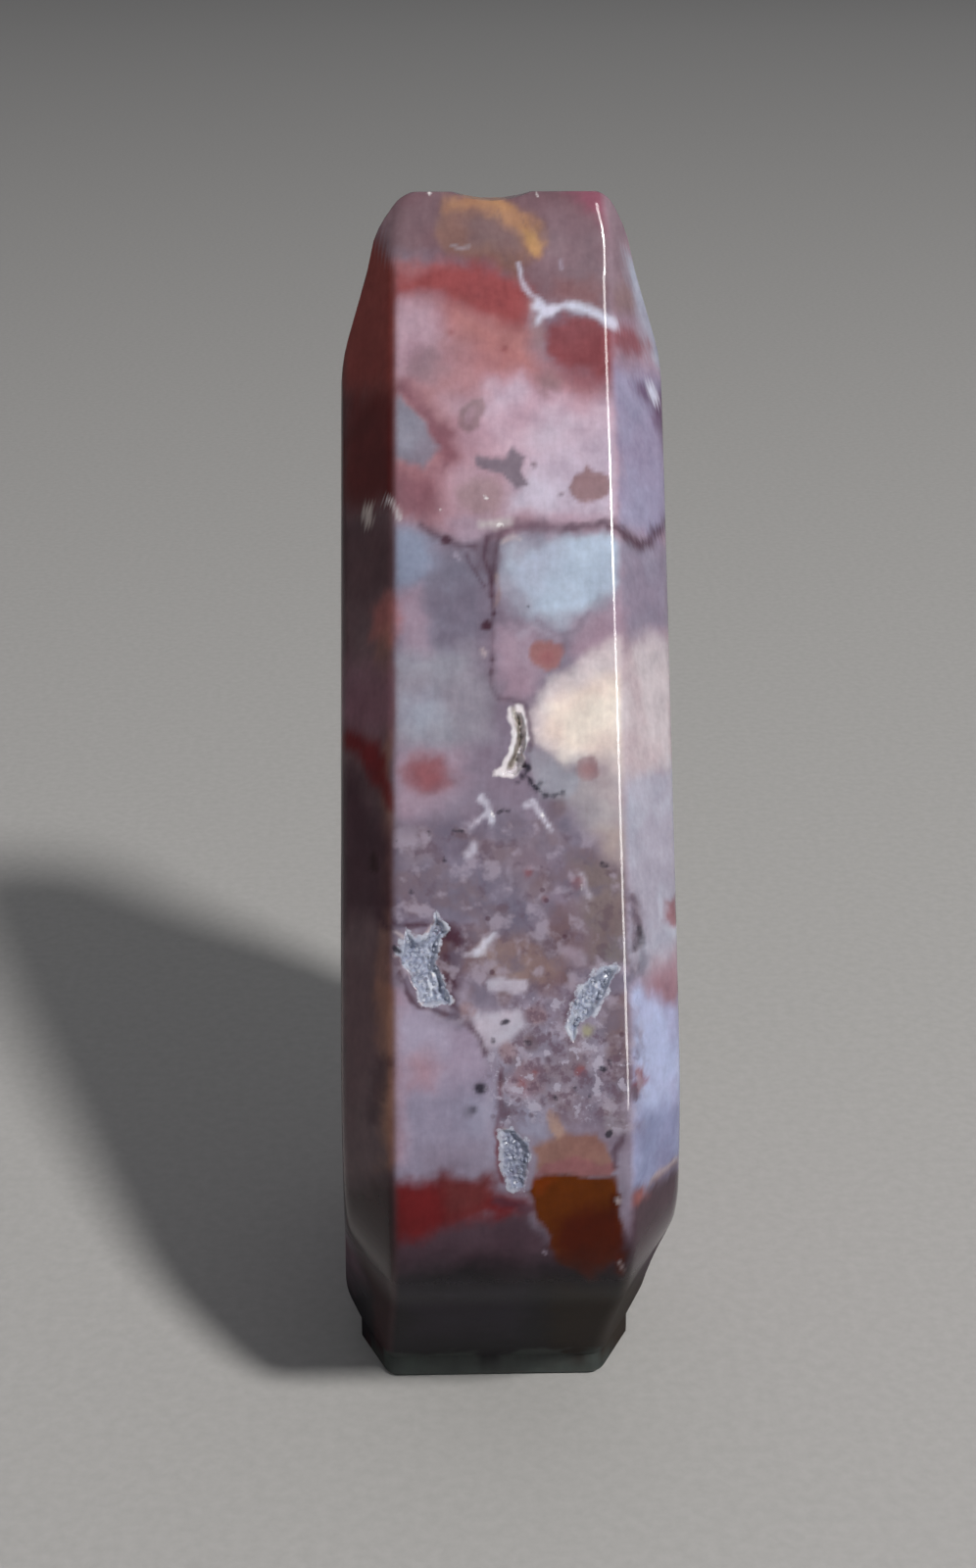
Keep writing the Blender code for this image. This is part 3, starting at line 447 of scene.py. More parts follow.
# Veins: colour, half width and softness in millimetres, reach behind the front, strength, and the
# line in pixels
VEINS = [
    ("across_left", "maroon", 0.24, 0.34, 8, 0.66,
     [(430, 536), (444, 546), (456, 551), (468, 556), (482, 558)]),
    ("across_right", "vein_plum", 0.42, 0.5, 9, 0.75,
     [(500, 548), (514, 541), (533, 536), (557, 537), (580, 540), (602, 538), (620, 536)]),
    ("across_thick", "plum", 0.3, 0.2, 7, 0.6, [(578, 538), (600, 535), (622, 532)]),
    ("across_bevel", "maroon", 0.42, 0.4, 8, 0.85,
     [(626, 536), (638, 546), (652, 557), (662, 552), (670, 542), (684, 532)]),
    ("fan_one", "maroon", 0.16, 0.2, 5, 0.6, [(476, 566), (484, 582), (494, 600)]),
    ("fan_two", "maroon", 0.2, 0.2, 5, 0.65, [(498, 548), (494, 566), (500, 588), (502, 608)]),
    ("fan_three", "maroon", 0.14, 0.2, 5, 0.55, [(510, 546), (505, 568), (501, 596)]),
    ("fan_rust", "tan", 0.16, 0.2, 5, 0.6, [(506, 588), (508, 604), (506, 618)]),
    ("branch", "maroon", 0.12, 0.2, 6, 0.6, [(502, 608), (504, 622), (502, 634)]),
    ("branch_low", "plum", 0.12, 0.2, 6, 0.5, [(502, 644), (502, 672), (501, 700), (507, 712)]),
    ("slit_edge", "plum", 0.2, 0.2, 6, 0.55,
     [(510, 712), (524, 714), (536, 720), (541, 740), (542, 766)]),
    ("arc_blue", "mauve", 0.25, 0.25, 5, 0.6,
     [(548, 632), (558, 642), (572, 648), (588, 644), (600, 626)]),
    ("arc_lilac", "net_lilac", 0.3, 0.3, 5, 0.5, [(530, 648), (542, 640), (556, 646), (570, 654)]),
    ("above_left", "maroon", 0.2, 0.2, 6, 0.9, [(403, 942), (418, 944), (434, 944)]),
    ("left_right", "maroon", 0.34, 0.35, 6, 0.85,
     [(458, 950), (452, 975), (458, 1000), (462, 1022), (468, 1032)]),
    ("left_under", "maroon", 0.2, 0.22, 6, 0.75,
     [(408, 990), (416, 1014), (426, 1027), (446, 1031), (464, 1036), (478, 1046), (490, 1060),
      (496, 1076)]),
    ("column_one", "column_red", 0.16, 0.22, 6, 0.75,
     [(512, 1092), (510, 1110), (512, 1130), (508, 1150), (508, 1170), (512, 1190), (514, 1206)]),
    ("column_spots", "maroon", 0.3, 0.2, 5, 0.7, [(511, 1098), (513, 1104)]),
    ("column_spots_low", "maroon", 0.3, 0.2, 5, 0.7, [(513, 1126), (515, 1138)]),
    ("red_link", "maroon", 0.4, 0.3, 6, 0.7, [(508, 1226), (526, 1228), (540, 1234)]),
    ("cap_right", "maroon", 0.24, 0.22, 6, 0.7, [(640, 1150), (634, 1164), (626, 1176), (628, 1190)]),
    ("amber_edge", "umber", 0.3, 0.3, 6, 0.85, [(629, 1222), (626, 1250), (632, 1272), (634, 1296)]),
    *[("hair", "brown", 0.07, 0.12, 5, 0.5, ends) for ends in HAIRS],
    ("vein_high", "white", 0.17, 0.24, 9, 0.85,
     [(529, 270), (531, 284), (536, 294), (545, 303), (552, 309)]),
    ("vein_blob", "white", 0.5, 0.32, 7, 0.95, [(550, 312), (558, 317), (562, 316)]),
    ("vein_drop", "white", 0.24, 0.3, 6, 0.7, [(554, 318), (549, 328)]),
    ("vein_thin", "white", 0.2, 0.24, 7, 0.75, [(562, 316), (574, 312), (582, 311)]),
    ("vein_bar", "white", 0.36, 0.34, 9, 0.9, [(582, 312), (600, 316), (616, 324), (628, 332)]),
    ("vein_bit", "net_lilac", 0.16, 0.2, 5, 0.8, [(571, 267), (573, 274)]),
    ("bevel_block", "white", 0.36, 0.18, 6, 0.9, [(664, 394), (668, 408)]),
    ("specks_high", "warm_grey", 0.12, 0.16, 4, 0.9, [(462, 250), (470, 253), (478, 252)]),
    ("left_fringe", "oyster", 0.2, 0.15, 6, 0.85, [(393, 510), (400, 512), (405, 519), (407, 529)]),
    ("bevel_fringe", "beige", 0.45, 0.18, 6, 0.85, [(374, 520), (376, 533)]),
    ("fringe_mid", "oyster", 0.34, 0.34, 5, 0.85, [(492, 536), (506, 535), (518, 533)]),
    ("fringe_right", "oyster", 0.16, 0.2, 4, 0.85, [(514, 552), (522, 547), (530, 549)]),
    ("left_bead", "net_lilac", 0.18, 0.2, 4, 0.8, [(466, 566), (470, 570)]),
    ("slit_body", "slit_grey", 0.5, 0.2, 5, 0.95,
     [(526, 726), (530, 742), (529, 758), (525, 772), (519, 785)]),
    ("slit_left", "ivory", 0.2, 0.16, 5, 1.0,
     [(521, 723), (520, 732), (524, 744), (524, 758), (519, 772), (513, 784), (506, 790)]),
    ("slit_right", "ivory", 0.3, 0.16, 5, 1.0,
     [(529, 722), (534, 736), (535, 752), (531, 764), (532, 776), (526, 788), (514, 790)]),
    ("streak_one", "wisp", 0.3, 0.2, 5, 0.95, [(492, 815), (498, 826), (502, 838)]),
    ("streak_two", "wisp", 0.2, 0.2, 5, 0.85, [(498, 828), (489, 836), (481, 845)]),
    ("streak_three", "wisp", 0.2, 0.24, 5, 0.85, [(536, 820), (548, 824)]),
    ("streak_four", "wisp", 0.22, 0.18, 5, 0.95, [(543, 817), (551, 827), (556, 836), (562, 845)]),
    ("streak_five", "wisp", 0.3, 0.3, 5, 0.75, [(476, 872), (483, 868), (485, 862)]),
    ("wisp_right", "wisp", 0.24, 0.3, 5, 0.7, [(593, 893), (597, 906), (602, 914)]),
    ("wisp_mid", "net_lilac", 0.26, 0.3, 5, 0.6, [(518, 888), (522, 900)]),
    ("wisp_low", "wisp", 0.26, 0.26, 5, 0.85, [(484, 972), (494, 964), (504, 953)]),
    ("wisp_lower", "wisp", 0.2, 0.24, 5, 0.7, [(474, 974), (484, 975), (494, 971)]),
    ("wisp_faint", "mauve_grey", 0.2, 0.3, 5, 0.8, [(474, 904), (484, 914), (494, 916)]),
    ("wisp_heart", "net_lilac", 0.14, 0.22, 5, 0.6, [(548, 962), (562, 968)]),
    ("slit_hollow", "slit_olive", 0.1, 0.16, 5, 0.8,
     [(527, 733), (530, 744), (529, 758), (525, 771), (521, 781)]),
    ("left_rim_one", "oyster", 0.16, 0.16, 5, 0.8,
     [(404, 950), (412, 956), (422, 958), (434, 954), (442, 942), (446, 934)]),
    ("left_rim_two", "oyster", 0.14, 0.16, 5, 0.8, [(403, 976), (412, 974), (424, 974), (438, 974)]),
    ("left_rim_three", "oyster", 0.16, 0.16, 5, 0.8,
     [(430, 1024), (440, 1018), (452, 1018), (462, 1022)]),
    ("right_under", "oyster", 0.2, 0.2, 5, 0.8, [(580, 1052), (586, 1060), (588, 1048)]),
    ("patch_top", "oyster", 0.2, 0.2, 5, 0.8, [(514, 1154), (526, 1160), (536, 1170)]),
    ("flecks_low", "net_lilac", 0.14, 0.16, 5, 0.6, [(556, 1277), (558, 1279)]),
    ("flecks_right", "oyster", 0.14, 0.16, 5, 0.8, [(631, 1224), (633, 1228)]),
    ("flecks_right_low", "oyster", 0.1, 0.16, 5, 0.5, [(633, 1288), (636, 1296)]),
    ("spot_pale", "oyster", 0.16, 0.2, 4, 0.8, [(493, 665), (495, 668)]),
    ("bevel_streak", "tan", 0.22, 0.2, 9, 0.7, [(666, 1206), (676, 1194), (690, 1184)]),
    ("bevel_streak_pale", "oyster", 0.1, 0.16, 9, 0.7, [(668, 1200), (680, 1190), (692, 1180)]),
    ("bevel_spot", "garnet", 0.4, 0.16, 6, 0.9, [(652, 1094), (656, 1102), (648, 1110)]),
    ("bevel_tail", "maroon", 0.2, 0.16, 6, 0.9, [(647, 1110), (650, 1122)]),
    # The next three marks lie on the left bevel, in its colours painted darker as shade
    ("left_edge_one", "bevel_plum_painted_shade", 0.4, 0.35, 6, 0.95, [(384, 918), (386, 934), (394, 946)]),
    ("left_edge_two", "bevel_black_painted_shade", 0.26, 0.2, 6, 0.95, [(381, 872), (382, 886)]),
    ("left_brown", "bevel_plum_painted_shade", 0.7, 0.6, 6, 0.7, [(392, 1086), (386, 1110), (380, 1140)]),
    ("right_crust_edge", "plum", 0.18, 0.25, 6, 0.8, [(576, 1050), (578, 1034), (588, 1014), (600, 996)]),
    ("patch_edge", "column_red", 0.18, 0.2, 6, 0.75,
     [(513, 1148), (508, 1164), (508, 1186), (513, 1206)]),
    ("cap_crack", "plum", 0.2, 0.25, 6, 0.7, [(636, 1060), (630, 1086), (636, 1110), (632, 1136)]),
    ("right_dark_one", "plum", 0.4, 0.3, 5, 0.85, [(644, 916), (652, 944), (648, 966)]),
    ("right_dark_two", "ink", 0.3, 0.2, 5, 0.85, [(653, 948), (654, 958), (648, 968)]),
    ("right_dark_three", "slate", 0.4, 0.35, 6, 0.7, [(640, 1000), (652, 990), (658, 976)]),
]

# The soft dots of the branching black mark, as in the table below
DENDRITE = [
    (0.3, 0.22, 0.85, (538, 783)), (0.24, 0.22, 0.8, (533, 792)), (0.3, 0.22, 0.9, (541, 797)),
    (0.26, 0.22, 0.85, (548, 804)), (0.2, 0.2, 0.8, (556, 811)), (0.2, 0.2, 0.7, (552, 799)),
    (0.16, 0.18, 0.7, (565, 812)), (0.14, 0.18, 0.7, (574, 809)), (0.14, 0.18, 0.6, (528, 798)),
]

# Round spots: colour, radius and softness in millimetres, strength, and middle in pixels
SPOTS = [
    ("big_dot", "ink", 0.5, 0.2, 0.92, (490, 1110)),
    ("second_dot", "ink", 0.28, 0.2, 0.85, (482, 1134)),
    *[("dendrite", "ink", *dot) for dot in DENDRITE],
    ("flower", "flower_red", 1.12, 0.24, 0.95, (559, 668)),
    ("flower_left", "flower_red", 0.6, 0.24, 0.9, (550, 662)),
    ("flower_right", "flower_red", 0.6, 0.24, 0.9, (569, 663)),
    ("flower_heart", "soft_garnet", 0.5, 0.3, 0.5, (558, 670)),
    ("brown_round", "mauve_brown", 0.95, 0.18, 0.85, (601, 783)),
    ("brown_round_heart", "salmon", 0.5, 0.3, 0.25, (601, 784)),
    ("branch_spot", "maroon", 0.5, 0.18, 0.95, (496, 637)),
    ("branch_dot", "maroon", 0.2, 0.16, 0.9, (504, 627)),
    ("across_spot", "maroon", 0.38, 0.18, 0.9, (456, 551)),
    ("column_dot", "maroon", 0.18, 0.16, 0.8, (502, 673)),
    ("column_dot_low", "maroon", 0.16, 0.16, 0.7, (501, 686)),
    ("lilac_dot", "mauve_grey", 0.24, 0.16, 0.9, (545, 473)),
    ("lilac_dot_two", "mauve_grey", 0.2, 0.16, 0.8, (573, 504)),
    ("mauve_one", "garnet", 0.42, 0.25, 0.6, (539, 889)),
    ("mauve_two", "garnet", 0.3, 0.25, 0.5, (556, 918)),
    ("mauve_three", "garnet", 0.5, 0.3, 0.5, (588, 902)),
    ("mauve_four", "brown", 0.6, 0.4, 0.6, (568, 930)),
    ("mauve_five", "brown", 0.8, 0.4, 0.5, (556, 898)),
    ("net_orb_one", "mauve_brown", 0.75, 0.25, 0.7, (519, 1074)),
    ("net_orb_two", "brown", 0.6, 0.2, 0.85, (541, 1064)),
    ("net_orb_three", "mauve", 0.9, 0.3, 0.85, (562, 1036)),
    ("net_orb_four", "mauve_brown", 0.8, 0.3, 0.8, (546, 1036)),
    ("net_orb_five", "brown", 0.6, 0.25, 0.8, (516, 1018)),
    ("net_orb_six", "mauve_brown", 0.7, 0.3, 0.8, (476, 1030)),
    ("olive_spot", "olive", 0.55, 0.3, 0.8, (599, 1052)),
    ("mottle_red_one", "garnet", 0.45, 0.2, 0.85, (594, 1092)),
    ("mottle_red_two", "garnet", 0.4, 0.25, 0.8, (532, 1106)),
    ("mottle_red_three", "garnet", 0.3, 0.2, 0.8, (547, 1094)),
    ("mottle_red_four", "maroon", 0.28, 0.2, 0.7, (560, 1082)),
    ("left_light", "pale_grey_and_painted_sheen", 0.5, 0.3, 0.4, (424, 956)),
    ("blue_halo", "slate", 0.45, 0.25, 0.6, (478, 1135)),
    ("tip_maroon", "garnet", 0.3, 0.2, 0.5, (512, 311)),
    ("tip_maroon_two", "garnet", 0.3, 0.25, 0.5, (488, 302)),
    ("rose_dot", "garnet", 0.22, 0.2, 0.5, (515, 357)),
    ("rose_dot_two", "garnet", 0.25, 0.25, 0.5, (460, 340)),
    ("blue_dusk", "slate", 0.5, 0.35, 0.7, (576, 843)),
    ("brown_by_streak", "brown", 0.7, 0.4, 0.6, (570, 824)),
]

# Crisp marks: half width in millimetres, reach behind the front, and the line in pixels
BLACK_MARKS = [
    ("dendrite_one", 0.07, 4, [(538, 781), (536, 790), (541, 797), (548, 803)]),
    ("dendrite_two", 0.06, 4, [(548, 803), (556, 810), (564, 811), (574, 809)]),
    ("arc_dot", 0.13, 4, [(508, 829), (513, 826), (518, 828)]),
    ("bar", 0.15, 4, [(464, 847), (472, 850)]),
    ("thin_arc", 0.06, 4, [(405, 858), (400, 856)]),
    ("dot_one", 0.12, 3, [(438, 849), (439, 851)]),
    ("dot_two", 0.13, 3, [(452, 876), (454, 878)]),
    ("dot_three", 0.1, 3, [(419, 908), (420, 910)]),
    ("dot_four", 0.2, 3, [(614, 881), (619, 882)]),
    ("orb_dot_one", 0.28, 4, [(515, 1042), (517, 1042)]),
    ("orb_dot_two", 0.2, 4, [(503, 1061), (504, 1061)]),
    ("orb_dot_three", 0.2, 4, [(537, 1063), (539, 1063)]),
    ("right_dot_one", 0.2, 4, [(613, 1090), (615, 1091)]),
    ("right_dot_two", 0.18, 4, [(623, 1083), (623, 1087)]),
    ("cap_dot", 0.26, 4, [(622, 1157), (624, 1157)]),
    ("blue_speck", 0.1, 3, [(539, 619), (540, 621)]),
    ("left_dark", 0.2, 4, [(402, 968), (408, 972)]),
    ("mottle_one", 0.15, 3, [(566, 1120), (568, 1122)]),
    ("mottle_two", 0.12, 3, [(586, 1110), (588, 1112)]),
    ("mottle_three", 0.14, 3, [(602, 1118), (603, 1120)]),
]
BRIGHT_FLECKS = [
    ("tip_fleck", 0.08, 4, [(439, 193), (438, 198)]),
    ("tip_notch", 0.03, 4, [(547, 197), (548, 201)]),
    ("sparkle_one", 0.09, 3, [(495, 508), (497, 509)]),
    ("sparkle_two", 0.07, 3, [(449, 519), (450, 520)]),
    ("fringe_spark", 0.09, 3, [(508, 537), (512, 536)]),
    ("fringe_spark_two", 0.07, 3, [(396, 511), (398, 511)]),
    ("streak_spark", 0.08, 3, [(501, 828), (503, 834)]),
    ("streak_spark_two", 0.07, 3, [(553, 830), (556, 835)]),
    ("left_spark", 0.09, 3, [(441, 994), (442, 996)]),
    ("wisp_spark", 0.07, 3, [(594, 905), (595, 910)]),
]
# Crystal crusts, in pixels
CRUSTS = {
    "left": [(403, 976), (414, 948), (424, 955), (434, 954), (445, 932), (460, 948), (450, 957),
             (446, 982), (453, 1000), (463, 1024), (431, 1026), (422, 1002), (411, 982)],
    "right": [(577, 1047), (581, 1031), (590, 1014), (599, 1000), (615, 984), (636, 986),
              (625, 1002), (618, 1016), (606, 1037), (590, 1043), (586, 1063)],
    "patch": [(511, 1153), (524, 1152), (541, 1166), (539, 1186), (534, 1214), (521, 1214),
              (512, 1194)],
}
# Where the stone is finely mottled, in pixels
SPECKLED = [(380, 850), (440, 840), (560, 820), (610, 860), (650, 920), (655, 1150), (560, 1140),
            (505, 1150), (490, 1050), (440, 1040), (380, 960)]

# Where plum netting runs through pale lilac, in pixels
NETTED = [(512, 1030), (560, 1010), (612, 1050), (640, 1090), (640, 1150), (600, 1136), (560, 1140),
          (512, 1150), (500, 1090)]


def smooth_run(points, step):
    """A Catmull-Rom curve through the points, without its last point."""
    ends = [tuple(2 * a - b for a, b in zip(points[0], points[1]))]
    ends += points
    ends.append(tuple(2 * a - b for a, b in zip(points[-1], points[-2])))
    run = []
    for p, q, r, s in zip(ends, ends[1:], ends[2:], ends[3:]):
        parts = max(1, round(math.dist(q, r) / step))
        for t in (i / parts for i in range(parts)):
            run.append([0.5 * (2 * b + (c - a) * t + (2 * a - 5 * b + 4 * c - d) * t * t
                               + (3 * b - a - 3 * c + d) * t ** 3)
                        for a, b, c, d in zip(p, q, r, s)])
    return run


def ramp(value):
    value = np.clip(value, 0, 1)
    return value * value * (3 - 2 * value)


def distance(points, line):
    """How far each point is from an open line."""
    best = np.full(len(points), 1e9)
    for start, end in zip(line[:-1], line[1:]):
        along = end - start
        share = np.clip((points - start) @ along / max(along @ along, 1e-12), 0, 1)
        best = np.minimum(best, np.linalg.norm(points - start - share[:, None] * along, axis=1))
    return best


def rim_line():
    """The rim of the stone seen from the side, from the foot over the tip to the foot again."""
    run = smooth_run(FRONT_RIM, FRONT_STEP) + smooth_run(TIP, TIP_STEP)
    return np.array(run + smooth_run(BACK_RIM, BACK_STEP) + [BACK_RIM[-1]])


def coarse_line():
    """The line the bevels follow, run on straight at both ends."""
    run = smooth_run(FRONT_RIM, COARSE_FRONT) + smooth_run(TIP, COARSE_TIP)
    rim = np.array(run + smooth_run(BACK_RIM, COARSE_BACK) + [BACK_RIM[-1]])
    start, end = rim[0] + COARSE_ENDS * (rim[0] - rim[1]), rim[-1] + COARSE_ENDS * (rim[-1] - rim[-2])
    return np.vstack([start, rim, end])


def heel(points):
    """How far the low front corner, which is cut wider on the right side, reaches into each point."""
    low = ramp(1 - points[..., 1] / RIGHT_HEEL_HIGH)
    return low * ramp(1 - (points[..., 0] - FRONT_RIM[4][0]) / RIGHT_HEEL_DEEP)


def bevel_run(points, side):
    run = BEVEL_RUN + BEVEL_EXTRA_FOOT * ramp(1 - points[..., 1] / BEVEL_EXTRA_HIGH)
    return run + RIGHT_HEEL_EXTRA * heel(points) if side > 0 else run


def tip_share(heights, before=0):
    return ramp((heights - TIP_NARROWS_AT + before) / (HEIGHT - TIP_NARROWS_AT))


def band_half(points, side):
    half = (BAND_FOOT + (BAND_TOP - BAND_FOOT) * points[..., 1] / HEIGHT) / 2
    tip = tip_share(points[..., 1])
    if side < 0:
        return half - TIP_LEFT_NARROWER * tip
    return half - TIP_RIGHT_NARROWER * tip - RIGHT_HEEL_NARROWER * heel(points)


def face_half(points):
    return (THICK_FOOT + (THICK_TOP - THICK_FOOT) * points[..., 1] / HEIGHT) / 2


def inset_table(rim, side):
    """For each rim point, the share of the bevel's run reached along its ray to the heart."""
    heart = np.array(HEART)
    ray = np.linspace(1, RAY_END, RAY_STEPS)
    points = heart + (rim[:, None] - heart) * ray[None, :, None]
    share = distance(points.reshape(-1, 2), coarse_line()).reshape(len(rim), -1)
    return ray, np.maximum.accumulate(share / bevel_run(points, side), axis=1)


def rounded(corner, before, after, length, steps):
    """Points that round a corner of the cross-section, as (inset, rise)."""
    corner, before, after = (np.array(v, float) for v in (corner, before, after))
    first = corner - before / np.linalg.norm(before) * length
    last = corner + after / np.linalg.norm(after) * length
    return [first * (1 - t) ** 2 + 2 * corner * t * (1 - t) + last * t * t
            for t in np.linspace(0, 1, steps + 1)]


def cross_section():
    """Half the cross-section, from the band to the middle of the face: (share, rise, drawn in)."""
    rise = (THICK_FOOT - BAND_FOOT) / 2
    bevel = (BEVEL_RUN, rise)
    rim = rounded((0, 0), (0, 1), bevel, RIM_ROUND, RIM_STEPS)
    edge = rounded(bevel, bevel, (1, 0), FACE_ROUND, FACE_EDGE_STEPS)
    slope = [rim[-1] + (edge[0] - rim[-1]) * t for t in np.linspace(0, 1, BEVEL_STEPS + 1)[1:-1]]
    rows = [(p[0] / BEVEL_RUN, p[1] / rise, 1.0) for p in rim + slope + edge]
    drawn = [(rows[-1][0], 1.0, 1 - t) for t in np.linspace(0, FACE_DRAWN_IN, FACE_STEPS + 1)[1:]]
    return rows + drawn


def section_loops(rim, side):
    """The loops that run round the stone on one side, from the band's edge to the face's middle."""
    heart = np.array(HEART)
    ray, share_at = inset_table(rim, side)
    loops = []
    for share, rise, drawn in cross_section():
        reach = np.array([np.interp(share, shares, ray) for shares in share_at])
        loop = heart + (rim - heart) * (reach * drawn)[:, None]
        band, face = band_half(loop, side), face_half(loop)
        x = side * (band + (face - band) * min(rise, 1))
        x += MIDDLE_X - FOOT_ASIDE * ramp(1 - loop[:, 1] / FOOT_ASIDE_HIGH)
        loops.append(np.column_stack([x, loop]))
    return loops


def stone_mesh():
    """The whole surface as a loft of fine loops, cut flat above the foot and drawn down to it."""
    rim = rim_line()
    left, right = section_loops(rim, -1)[::-1], section_loops(rim, 1)
    band = [left[-1] + (right[0] - left[-1]) * t for t in np.linspace(0, 1, BAND_STEPS + 1)[1:-1]]
    mesh = bmesh.new()
    rows = [[mesh.verts.new(Vector(p) * MM) for p in loop] for loop in left + band + right]
    for row, above in zip(rows, rows[1:]):
        for i in range(len(row)):
            j = (i + 1) % len(row)
            mesh.faces.new((row[i], row[j], above[j], above[i]))
    mesh.faces.new(rows[0][::-1])
    mesh.faces.new(rows[-1])
    everything = mesh.verts[:] + mesh.edges[:] + mesh.faces[:]
    cut = bmesh.ops.bisect_plane(mesh, geom=everything, plane_co=(0, 0, FOOT_HIGH * MM),
                                 plane_no=(0, 0, -1), clear_outer=True)
    loop = [item for item in cut["geom_cut"] if isinstance(item, bmesh.types.BMEdge)]
    foot = bmesh.ops.extrude_edge_only(mesh, edges=loop)["geom"]
    low = {item for item in foot if isinstance(item, bmesh.types.BMVert)}
    edges = [item for item in foot if isinstance(item, bmesh.types.BMEdge)]
    bmesh.ops.translate(mesh, verts=list(low), vec=(0, 0, -FOOT_HIGH * MM))
    edges = [edge for edge in edges if all(vert in low for vert in edge.verts)]
    bmesh.ops.edgeloop_fill(mesh, edges=edges)
    bmesh.ops.recalc_face_normals(mesh, faces=mesh.faces)
    bmesh.ops.bevel(mesh, geom=edges, offset=BASE_EASE * MM, segments=EASE_SEGMENTS, affect="EDGES")
    return mesh


def dip_tip(mesh):
    """Grinds the shallow hollow across the tip."""
    for vert in mesh.verts:
        x, z = vert.co.x / MM - DIP_X, vert.co.z / MM
        if z > HEIGHT - 2 and abs(x) < DIP_RADIUS:
            floor = HEIGHT + DIP_RADIUS - DIP_DEPTH - math.sqrt(DIP_RADIUS ** 2 - x * x)
            vert.co.z = min(z, floor) * MM


def polygon_field(points, outline):
    """The distance of each point to a closed outline, positive inside."""
    line = np.array(outline + outline[:1], float)
    inside = np.zeros(len(points), bool)
    for (ax, ay), (bx, by) in zip(line[:-1], line[1:]):
        crosses = (ay > points[:, 1]) != (by > points[:, 1])
        if ay != by:
            inside ^= crosses & (points[:, 0] < ax + (points[:, 1] - ay) * (bx - ax) / (by - ay))
    return np.where(inside, 1, -1) * distance(points, line)


def front_line():
    """The front rim as heights and depths, for placing things on the band."""
    rim = np.array(smooth_run(FRONT_RIM, 0.5))
    return rim[:, 1], rim[:, 0]


def front_place(height, front):
    """The depth of the front at a height, and the way that it faces there."""
    depth = np.interp(height, *front)
    lean = math.atan2(np.interp(height + 1, *front) - depth, 1)
    return depth, Vector((0, -math.cos(lean), math.sin(lean)))


def in_box(place, low, high):
    """Whether a place, in metres, is on the front and in a box on the band."""
    x, z = (place / MM).xz
    return low[0] < x - MIDDLE_X < high[0] and low[1] < z < high[1] and place.y < 0


def open_pockets(mesh):
    """Refines the surface in each pocket and sinks it to a rough floor."""
    front = front_line()
    for outline, depth in POCKETS.values():
        low = np.array(outline).min(0) - POCKET_MARGIN
        high = np.array(outline).max(0) + POCKET_MARGIN
        edges = [edge for edge in mesh.edges
                 if in_box((edge.verts[0].co + edge.verts[1].co) / 2, low, high)
                 and edge.calc_length() < POCKET_EDGE * MM]
        bmesh.ops.subdivide_edges(mesh, edges=edges, cuts=POCKET_CUTS, use_grid_fill=True)
        inside = [vert for vert in mesh.verts if in_box(vert.co, low, high)]
        flat = np.array([(vert.co.x / MM - MIDDLE_X, vert.co.z / MM) for vert in inside])
        for vert, gap in zip(inside, polygon_field(flat, outline)):
            gap += noise.noise(vert.co / MM * 1.7) * POCKET_WOBBLE
            if gap > 0:
                rough = 0.75 + 0.35 * noise.noise(vert.co / MM * 3.1)
                out = front_place(vert.co.z / MM, front)[1]
                vert.co -= out * depth * float(ramp(gap / POCKET_WALL)) * rough * MM


def camera_axes():
    down, turn = CAMERA_DOWN, CAMERA_TURN
    right = np.array([math.cos(turn), math.sin(turn), 0])
    ahead = np.array([-math.sin(turn) * math.cos(down), math.cos(turn) * math.cos(down), -math.sin(down)])
    return right, ahead, np.cross(right, ahead)


def to_photo(points):
    """Where points, in millimetres, fall in the photograph, and how far ahead of the lens they are."""
    right, ahead, up = camera_axes()
    away = points - np.array(CAMERA_AT)
    deep = away @ ahead
    across = PHOTO_WIDE / 2 + CENTRE_RIGHT_PX + FOCAL_PX * (away @ right) / deep
    return np.column_stack([across, PHOTO_HIGH / 2 - FOCAL_PX * (away @ up) / deep]), deep


def behind_front(pixels, deep):
    """How far behind the middle of the front band each point lies, along the view."""
    rim = np.array(smooth_run(FRONT_RIM, 0.5) + smooth_run(TIP, 0.3)[:10])
    rim = rim[rim[:, 1] >= 0]
    line = np.column_stack([np.full(len(rim), MIDDLE_X), rim])
    at, line_deep = to_photo(line)
    order = np.argsort(at[:, 1])
    return deep - np.interp(pixels[:, 1], at[order, 1], line_deep[order])


PX_PER_MM = 13.0
EDGE_SOFT, SPOT_REACH, CRUST_REACH, MOTTLE_REACH = 0.8, 5, 6, 8
NOWHERE = -9.0
# Noise that bends the patches' outlines, and the lines and dots: size and amount in millimetres
PATCH_WARPS = [(5.0, 0.7), (1.6, 0.35), (0.6, 0.15)]
LINE_WARPS = [(1.4, 0.16), (0.5, 0.1)]
# How far a patch's depth sways, and how much an edge frays, a line swells and a crust wanders
DEPTH_SWAY, DEPTH_SWAY_SIZE = 2.0, 6.0
FRAY_SIZE, FRAY_SHARE, FRAY_MOST, SPOT_FRAY = 1.8, 0.6, 0.4, 0.3
SWELL_SIZE, SWELL_LEAST, SWELL_MORE, CRUST_FRAY = 0.8, 0.9, 0.5, 0.16
# Patches and wisps in these colours stay clear of the fine mottles
CLEAR_TINTS = ("net_lilac", "net_white", "wisp", "oyster", "olive")


def warped(points, warps):
    """Points moved about by smooth noise, so that drawn outlines look grown."""
    for size, amount in warps:
        moved = [noise.noise_vector(Vector(p) / size) for p in points]
        points = points + np.array([tuple(v) for v in moved]) * amount
    return points


def clouds(points, scale, octaves=4):
    """Cloudy noise between about -1 and 1 at each point."""
    return np.array([noise.fractal(Vector(p) / scale, 0.8, 2.0, octaves) for p in points])


def reach_mask(behind, reach):
    """Fades a patch out where the surface lies further back than the patch reaches."""
    return 1 - ramp((behind - reach + 1.5) / 3.0)


